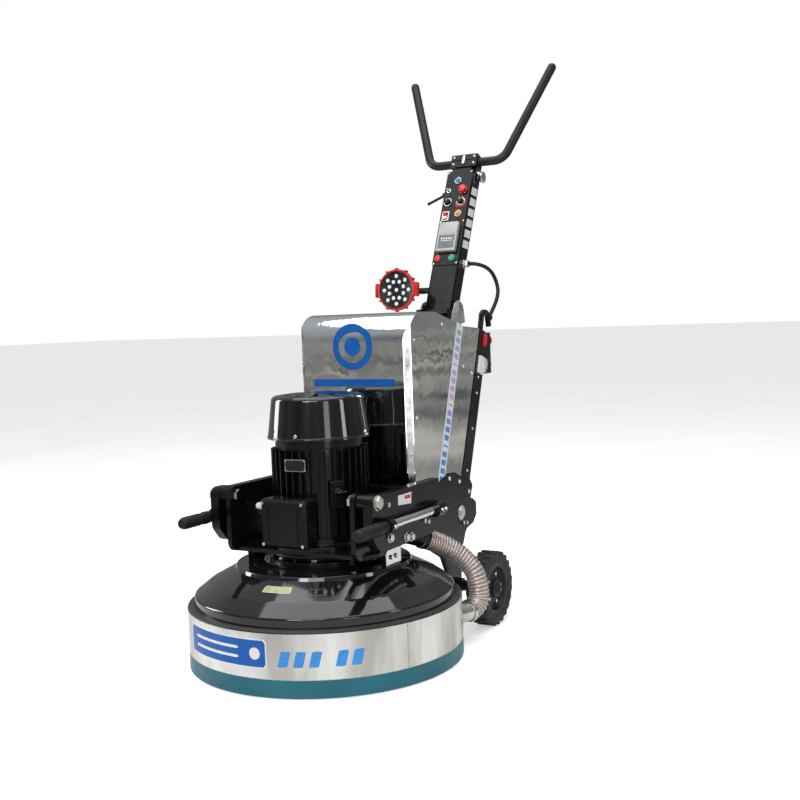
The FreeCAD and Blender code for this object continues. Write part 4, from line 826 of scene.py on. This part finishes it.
def make_cabinet_details():
    """Corner strips with oval covers, side screws, side print and the plain front mark."""
    bevel_out = Vector((0.6247, -0.7809, 0))
    for name, sign in SIDES:
        out = Vector((sign * bevel_out.x, bevel_out.y, 0))
        middle = Vector((sign * 195.2, 219.9, 0))
        strip = moved(prism(rounded(9.5, 246, 4), 0.1, 0.9),
                      facing(out, middle + Vector((0, 0, 690))))
        piece(f"{name}_corner_strip", strip, FLOOR, "chassis", "machined", bevel=0.3)
        covers = []
        for height in (874, 590):
            place = facing(out, middle + out * 1.0 + Vector((0, 0, height)))
            covers.append(moved(prism(rounded(8.5, 22, 8), 0, 1.6), place))
            covers.append(moved(round_screw(4.6, 2.6), place @ shift((0, 8, 1.4))))
        piece(f"{name}_oval_covers", merged(*covers), FLOOR, "chassis", "machined", bevel=0.4)
        screws = [side_screw(sign, CABINET_SIDE, y, z) for y, z in ((593, 858), (657, 831), (445, 1004),
                                                             (250, 960), (250, 470), (250, 715))]
        piece(f"{name}_cover_screws", merged(*screws), FLOOR, "chassis", "zinc")
        make_side_print(name, sign)
    ring = lathe([(52, 0), (74, 0), (74, 0.5), (52, 0.5), (52, 0)], 96)
    hub = lathe([(0, 0.6), (30, 0.6), (30, 0)], 64)
    bar = moved(prism(rounded(152, 12, 5), 0, 0.5), shift((0, -116, 0)))
    place = FLOOR @ facing((0, -1, 0), (0, CABINET_FRONT - 0.1, 944))
    piece("front_mark", merged(ring, hub, bar), place, "chassis", "ink_blue")


def make_side_print(name, sign):
    """White strip up the cabinet's side with short fading bars."""
    low, high = Vector((395, 470)), Vector((576, 1000))
    along = (high - low).normalized()
    across = Vector((along.y, -along.x))

    def block(at, half_width, half_length, depth, thick):
        middle = low.lerp(high, at)
        corners = [middle + across * (u * half_width) + along * (v * half_length)
                   for u, v in ((-1, -1), (1, -1), (1, 1), (-1, 1))]
        return on_side(sign, depth, [(c.x, c.y) for c in corners], thick)

    strip = block(0.5, 23, 282, CABINET_SIDE + 0.05, 0.3)
    piece(f"{name}_side_strip", strip, FLOOR, "chassis", "white")
    count = 19
    bars = [block(0.05 + 0.90 * i / (count - 1), 15, 9 if i % 5 != 4 else 3, CABINET_SIDE + 0.4, 0.25)
            for i in range(count)]
    piece(f"{name}_side_bars", merged(*bars), FLOOR, "chassis", "print")


def make_rear_details():
    """Red pull, white socket box and screws on the right post, and grey hinge cheeks."""
    lean = radians(-20)
    post = FLOOR @ shift((CABINET_SIDE + 0.1, 0, 0))

    def on_post(height, back):
        return Vector((0, 524 + (height - 399) * tan(-lean) + back, height))

    def laid(form, height, back):
        at = on_post(height, back)
        turn = Matrix.Rotation(lean, 4, "X") @ facing((1, 0, 0), (0, 0, 0))
        return moved(form, shift(at) @ turn)

    pull = merged(prism(rounded(9.5, 24, 9), 0, 7), prism(rounded(6, 18, 5.5), 7, 10))
    piece("post_pull", laid(pull, 940, 42), post, "chassis", "red", bevel=1.0)
    case = prism(rounded(19, 31, 3), 0, 9)
    piece("post_socket", laid(case, 854, 34), post, "chassis", "white", bevel=1.0)
    latch = merged(prism(rounded(9, 24, 3), 0, 13), prism(rounded(5, 12, 2), 13, 16))
    piece("socket_latch", laid(latch, 852, 60), post, "chassis", "zinc", bevel=0.8)
    screws = [laid(round_screw(5, 3.2), z, b) for z, b in ((814, 30), (760, 33), (640, 33), (500, 33))]
    piece("post_screws", merged(*screws), post, "chassis", "zinc")
    outline = [(776, 990), (892, 1004), (886, 1050), (868, 1078), (843, 1086), (818, 1078), (790, 1040)]
    for name, sign in SIDES:
        cheek = on_side(sign, 67.1, outline, 2.6)
        piece(f"{name}_hinge_cheek", cheek, FLOOR, "chassis", "light_grey", bevel=0.9)
    boot = lathe([(10.3, 0), (13.0, 1), (13.0, 8), (11.6, 10), (11.6, 16), (10.3, 18)], 28)
    place = facing((0, -0.7682, -0.6402), (184, 858.4, 1022.2))
    piece("conduit_nut", moved(boot, place), FLOOR, "chassis", "rubber")


def make_inverter_details():
    """Keypad and vents on the inverter, seen through the cabinet's open back."""
    place = FLOOR @ facing((0, 1, 0), (0, INVERTER_BACK + 0.2, 600))
    fins = [moved(prism(rounded(1.5, 158, 1.2), 0, 6), shift((x, 6, 0)))
            for x in range(-78, 79, 12)]
    piece("inverter_fins", merged(*fins), place, "chassis", "aluminium")
    front = FLOOR @ facing((0, -1, 0), (0, INVERTER_FRONT - 0.2, 700))
    keypad = moved(prism(rounded(30, 36, 4), 3, 9), shift((0, 30, 0)))
    panel = merged(prism(rounded(70, 90, 8), 0, 3), keypad)
    piece("inverter_panel", panel, front, "chassis", "plastic", bevel=1.0)


# ---------------------------------------------------------------- column

def on_panel(x, s):
    """Matrix at a point of the control plate's face, z pointing out of it."""
    return COLUMN @ shift((x, -3.1, s)) @ Matrix.Rotation(radians(90), 4, "X")


def bezel_ring(inner, outer, height):
    """A stepped metal ring round a control."""
    return lathe([(inner, 0), (outer, 0), (outer, height * 0.5), (outer - 1.4, height),
                  (inner + 0.6, height), (inner, height * 0.7), (inner, 0)], 40)


def make_panel():
    """Bezels, lamps, toggle, knob marks and screws of the control plate."""
    rings = [("stop", -32, 188, 8.3, 13.5, 6.0, "red", "red_plastic"),
             ("start", 26, 188, 8.3, 13.5, 6.0, "green", "green_plastic"),
             ("emergency", 25, 470, 10.0, 16.0, 1.7, "red", "red_plastic"),
             ("speed", -31, 422, 13.5, 17.0, 3.4, "zinc", "zinc_bolts"),
             ("mode", 23, 422, 13.5, 17.0, 3.4, "zinc", "zinc_bolts")]
    for name, x, s, inner, outer, height, finish, slot in rings:
        piece(f"{name}_bezel", bezel_ring(inner, outer, height), on_panel(x, s), "column", finish)
    piece("mode_base", bezel_ring(17.2, 21, 2.0), on_panel(23, 418), "column", "red")
    dome = [(0, 15), (5, 14), (9, 10.5), (11, 5), (11, 2)]
    for name, x, s, finish in (("blue", -2, 511, "blue"), ("amber", 21, 371, "amber")):
        piece(f"{name}_lamp", lathe(dome, 32), on_panel(x, s), "column", finish, smooth=60)
        piece(f"{name}_lamp_ring", bezel_ring(11.2, 14.5, 4.5), on_panel(x, s), "column", "zinc")
    toggle = merged(bezel_ring(5, 9.5, 3), lathe([(0, 17), (2.4, 16.5), (3.2, 13), (2.4, 4), (2.4, 0)], 16))
    piece("toggle", toggle, on_panel(-35, 470), "column", "zinc")
    for name, x in (("speed", -31), ("mode", 23)):
        mark = moved(prism(rounded(1.0, 5, 0.9), 15.3, 16.0), shift((0, 5, 0)))
        piece(f"{name}_mark", mark, on_panel(x, 422), f"{name}_knob", "white")
    sides = [moved(prism(rounded(1.4, 18.5, 1), 0, 1.6), shift((u, 0, 0)))
             for u in (-12.4, 12.4)]
    ends = [moved(prism(rounded(11, 1.4, 1), 0, 1.6), shift((0, v, 0)))
            for v in (-17.1, 17.1)]
    piece("rocker_frame", merged(*sides, *ends), on_panel(-31, 364), "column", "zinc", bevel=0.4)
    cap = moved(prism(rounded(8, 4.6, 1), 2.6, 4.6), shift((0, -6.4, 0)))
    piece("rocker_cap", cap, on_panel(-31, 364), "rocker_switch", "white", bevel=0.5)
    screws = [moved(round_screw(3.6, 2.4), on_panel(x, s)) for x in (-47, 47) for s in (168, 340, 546)]
    piece("panel_screws", merged(*screws), Matrix(), "column", "zinc")
    make_display()


def make_display():
    """Screen glass with plain segments, and the grey key field above it."""
    glass = prism(rounded(32.6, 26.6, 2), 13.2, 14.2)
    piece("screen_glass", glass, on_panel(-1, 249), "column", "glass", bevel=0.3)
    field = prism(rounded(33, 20, 3), 16.0, 16.8)
    piece("key_field", field, on_panel(-1, 302), "column", "bezel", bevel=0.3)
    segments = [moved(prism(rounded(2.6, 3.6, 0.8), 14.1, 14.5), shift((u, 14, 0)))
                for u in (-21, -11, -1, 9, 19)]
    segments.append(moved(prism(rounded(24, 1.0, 0.8), 14.1, 14.5), shift((0, 5, 0))))
    piece("screen_segments", merged(*segments), on_panel(-1, 249), "column", "white")


def make_column_details():
    """Plain side blocks, clamp bolt, tightening knob, lever boot and head screws."""
    blocks = []
    for s in (236, 280, 324, 368, 412, 456):
        corners = [(10, s), (54, s + 12), (54, s + 43), (10, s + 31)]
        blocks.append(on_side(1, 54.1, corners, 0.3))
    piece("side_blocks", merged(*blocks), COLUMN, "column", "white")
    bolt = moved(prism(rounded(5, 17, 2), 0, 5), facing((0, -1, 0), (0, 8, 606)))
    piece("clamp_bolt", bolt, COLUMN, "column", "zinc", bevel=0.8)
    caps = [moved(round_screw(5.5, 4), facing((0, -1, 0), (x, 8, s)))
            for x in (-42, 42) for s in (590, 618)]
    piece("clamp_screws", merged(*caps), COLUMN, "column", "zinc")
    knob = lathe([(0, 22), (14, 22), (21, 19), (22, 14), (20, 9), (9, 7), (7, 4), (7, 0)], 40)
    piece("tightening_knob", moved(knob, facing((1, 0, 0), (54, 50, 548))), COLUMN, "column", "chrome",
          smooth=50)
    boot = lathe([(14, 0), (17, 0), (16, 3), (14.5, 5), (14, 5)], 32)
    piece("lever_boot", moved(boot, facing((-1, 0, 0), (-54.2, 20, 466))), COLUMN, "column", "rubber")
    cap = prism(rounded(51, 30, 6), 556.0, 558.5)
    piece("column_cap", moved(cap, shift((0, 33, 0))), COLUMN, "column", "plastic", bevel=0.8)


def make_lamp():
    """Face, lenses and bezel ribs of the work light."""
    face = lathe([(0, 11.4), (64.5, 11.4), (66, 12.4), (67.5, 17.2), (69, 18.4)], 72)
    piece("lamp_face", face, LAMP, "work_light", "plastic")
    lens = lathe([(0, 15.2), (2.8, 14.8), (4.6, 13.6), (5.2, 11.6)], 20)
    spots = merged(lens, repeated(lens, 8, 31.8, 22.5), repeated(lens, 8, 51.0))
    piece("lamp_lenses", spots, LAMP, "work_light", "led", smooth=60)
    cup = lathe([(5.4, 11.5), (7.4, 12.8), (8.2, 11.5)], 20)
    cups = merged(cup, repeated(cup, 8, 31.8, 22.5), repeated(cup, 8, 51.0))
    piece("lamp_cups", cups, LAMP, "work_light", "machined")
    rib = prism(rounded(4.5, 3.2, 1.5), -3, 18.6)
    lug = moved(prism(rounded(8, 26, 6), -2, 15), shift((81, 0, 0)))
    slot_rib = moved(prism(rounded(2.2, 20, 2), 15, 18), shift((83, 0, 0)))
    lugs = repeated(merged(lug, slot_rib), 2)
    piece("bezel_lugs", lugs, LAMP, "work_light", "red_coat", bevel=1.2)
    piece("bezel_ribs", repeated(rib, 12, 76), LAMP, "work_light", "red_coat", bevel=0.8)


# ---------------------------------------------------------------- studio

def make_studio():
    """Pale floor, soft lights, tall window panels for the polished steel, and the camera."""
    mesh = bpy.data.meshes.new("studio_floor")
    reach = 60.0
    mesh.from_pydata([(-reach, -reach, 0), (reach, -reach, 0), (reach, reach, 0), (-reach, reach, 0)],
                     [], [(0, 1, 2, 3)])
    mesh.materials.append(make_floor_material())
    placed("studio_floor", mesh)
    make_sky()
    soft_light("overhead", (0, -0.6, 4.6), (0, -0.4, 0), (5.0, 5.0), 170)
    soft_light("front_fill", (1.2, -4.6, 2.6), (0, -0.2, 0.6), (2.6, 1.6), 60)
    for name, bearing, height, size, power in (("left", -76, 1.9, (1.3, 2.2), 75),
                                               ("front", 6, 2.4, (0.8, 1.4), 26),
                                               ("corner", 49, 0.9, (0.9, 1.5), 13),
                                               ("right", 88, 1.8, (0.7, 2.2), 30)):
        turn = radians(bearing)
        at = (4.6 * sin(turn), -4.6 * cos(turn), height)
        soft_light(f"{name}_window", at, (0, -0.1, height), size, power)
    make_camera()
    bpy.context.scene.view_settings.view_transform = "Standard"


def darker_by_reflection(tree, colour, dark):
    """A colour as the camera sees it, and a darker one for reflected and bounced light."""
    seen = add(tree.nodes, "ShaderNodeLightPath")
    mix = add(tree.nodes, "ShaderNodeMix", data_type="RGBA")
    tree.links.new(seen.outputs["Is Camera Ray"], mix.inputs["Factor"])
    tree.links.new(dark, mix.inputs[6])
    tree.links.new(colour, mix.inputs[7])
    return mix.outputs[2]


def make_floor_material():
    """Pale floor to the camera; to reflected and bounced rays, grey with dark patches: a painted reflection
    of a workshop's concrete in the polished steel.
    """
    material = surface("studio_floor", (0.93, 0.93, 0.93), (0.90, 0.90, 0.90), (0.8, 0.9), patch=1.5,
                       relief=((60, 0.05),))
    tree = material.node_tree
    shader = tree.nodes["Principled BSDF"]
    pale = shader.inputs["Base Color"].links[0].from_socket
    coordinates = next(n for n in tree.nodes if n.type == "TEX_COORD").outputs["Object"]
    # Painted reflection: pale and dark patches that only reflected and bounced rays see, standing in for a
    # workshop floor in the polished steel.
    painted_reflection_patches = blended(tree, noise_field(tree, coordinates, 0.32, (1, 1, 1), 2.5),
                      (0.46, 0.43, 0.39), (0.05, 0.06, 0.055))
    reach = add(tree.nodes, "ShaderNodeVectorMath", operation="LENGTH")
    tree.links.new(coordinates, reach.inputs[0])
    far = remapped(tree, reach.outputs["Value"], 0.0, 1.0, 1.2, 3.2)
    grey = add(tree.nodes, "ShaderNodeMix", data_type="RGBA")
    tree.links.new(far, grey.inputs["Factor"])
    grey.inputs[6].default_value = (0.50, 0.50, 0.49, 1)
    tree.links.new(painted_reflection_patches, grey.inputs[7])
    tone = darker_by_reflection(tree, pale, grey.outputs[2])
    tree.links.new(tone, shader.inputs["Base Color"])
    tree.links.new(tone, shader.inputs["Emission Color"])
    shader.inputs["Emission Strength"].default_value = 0.52
    return material


def make_sky():
    """White to the camera; to the steel and enamel, a dim hall with a paler ceiling."""
    world = bpy.data.worlds.new("studio")
    bpy.context.scene.world = world
    world.use_nodes = True
    tree = world.node_tree
    background = tree.nodes["Background"]
    direction = add(tree.nodes, "ShaderNodeTexCoord").outputs["Generated"]
    split = add(tree.nodes, "ShaderNodeSeparateXYZ")
    tree.links.new(direction, split.inputs["Vector"])
    field = noise_field(tree, direction, 2.2, (1, 1, 0.35), 2.0)
    walls = blended(tree, field, (0.08, 0.09, 0.10), (0.34, 0.35, 0.35))
    climb = remapped(tree, split.outputs["Z"], 0.0, 1.0, 0.25, 0.85)
    ceiling = add(tree.nodes, "ShaderNodeMix", data_type="RGBA")
    tree.links.new(climb, ceiling.inputs["Factor"])
    tree.links.new(walls, ceiling.inputs[6])
    ceiling.inputs[7].default_value = (0.42, 0.44, 0.46, 1)
    white = add(tree.nodes, "ShaderNodeRGB")
    white.outputs["Color"].default_value = (1.0, 1.0, 1.0, 1)
    tone = darker_by_reflection(tree, white.outputs["Color"], ceiling.outputs[2])
    tree.links.new(tone, background.inputs["Color"])
    background.inputs["Strength"].default_value = 1.0


def soft_light(name, at, towards, size, power):
    """A rectangular soft light of a width and a height."""
    data = bpy.data.lights.new(name, "AREA")
    data.shape = "RECTANGLE"
    data.size, data.size_y = size
    data.energy = power
    item = placed(name, data)
    item.location = at
    item.rotation_euler = (Vector(towards) - Vector(at)).to_track_quat("-Z", "Y").to_euler()


def make_camera():
    """The camera at the photograph's viewing angle."""
    azimuth, pitch, roll = (radians(v) for v in CAMERA_TURN)
    back = Vector((sin(azimuth) * cos(pitch), -cos(azimuth) * cos(pitch),
                   sin(pitch)))
    right = Vector((0, 0, 1)).cross(back).normalized()
    up = back.cross(right)
    turned_right = right * cos(roll) + up * sin(roll)
    turned_up = up * cos(roll) - right * sin(roll)
    data = bpy.data.cameras.new("camera")
    data.sensor_width = 36.0
    data.lens = CAMERA_LENS
    data.clip_end = 100
    camera = placed("camera", data)
    turn = Matrix((turned_right, turned_up, back)).transposed().to_4x4()
    camera.matrix_world = shift(CAMERA_PLACE) @ turn
    bpy.context.scene.camera = camera


make_materials()
make_studio()
make_hose()
make_cable()
dress_nodes()
make_band_marks()
make_cover_marks()
make_disc_segments()
make_motor_details()
make_arm_details()
make_grips()
make_gussets()
make_wheel_details()
make_cabinet_details()
make_rear_details()
make_inverter_details()
make_panel()
make_column_details()
make_lamp()
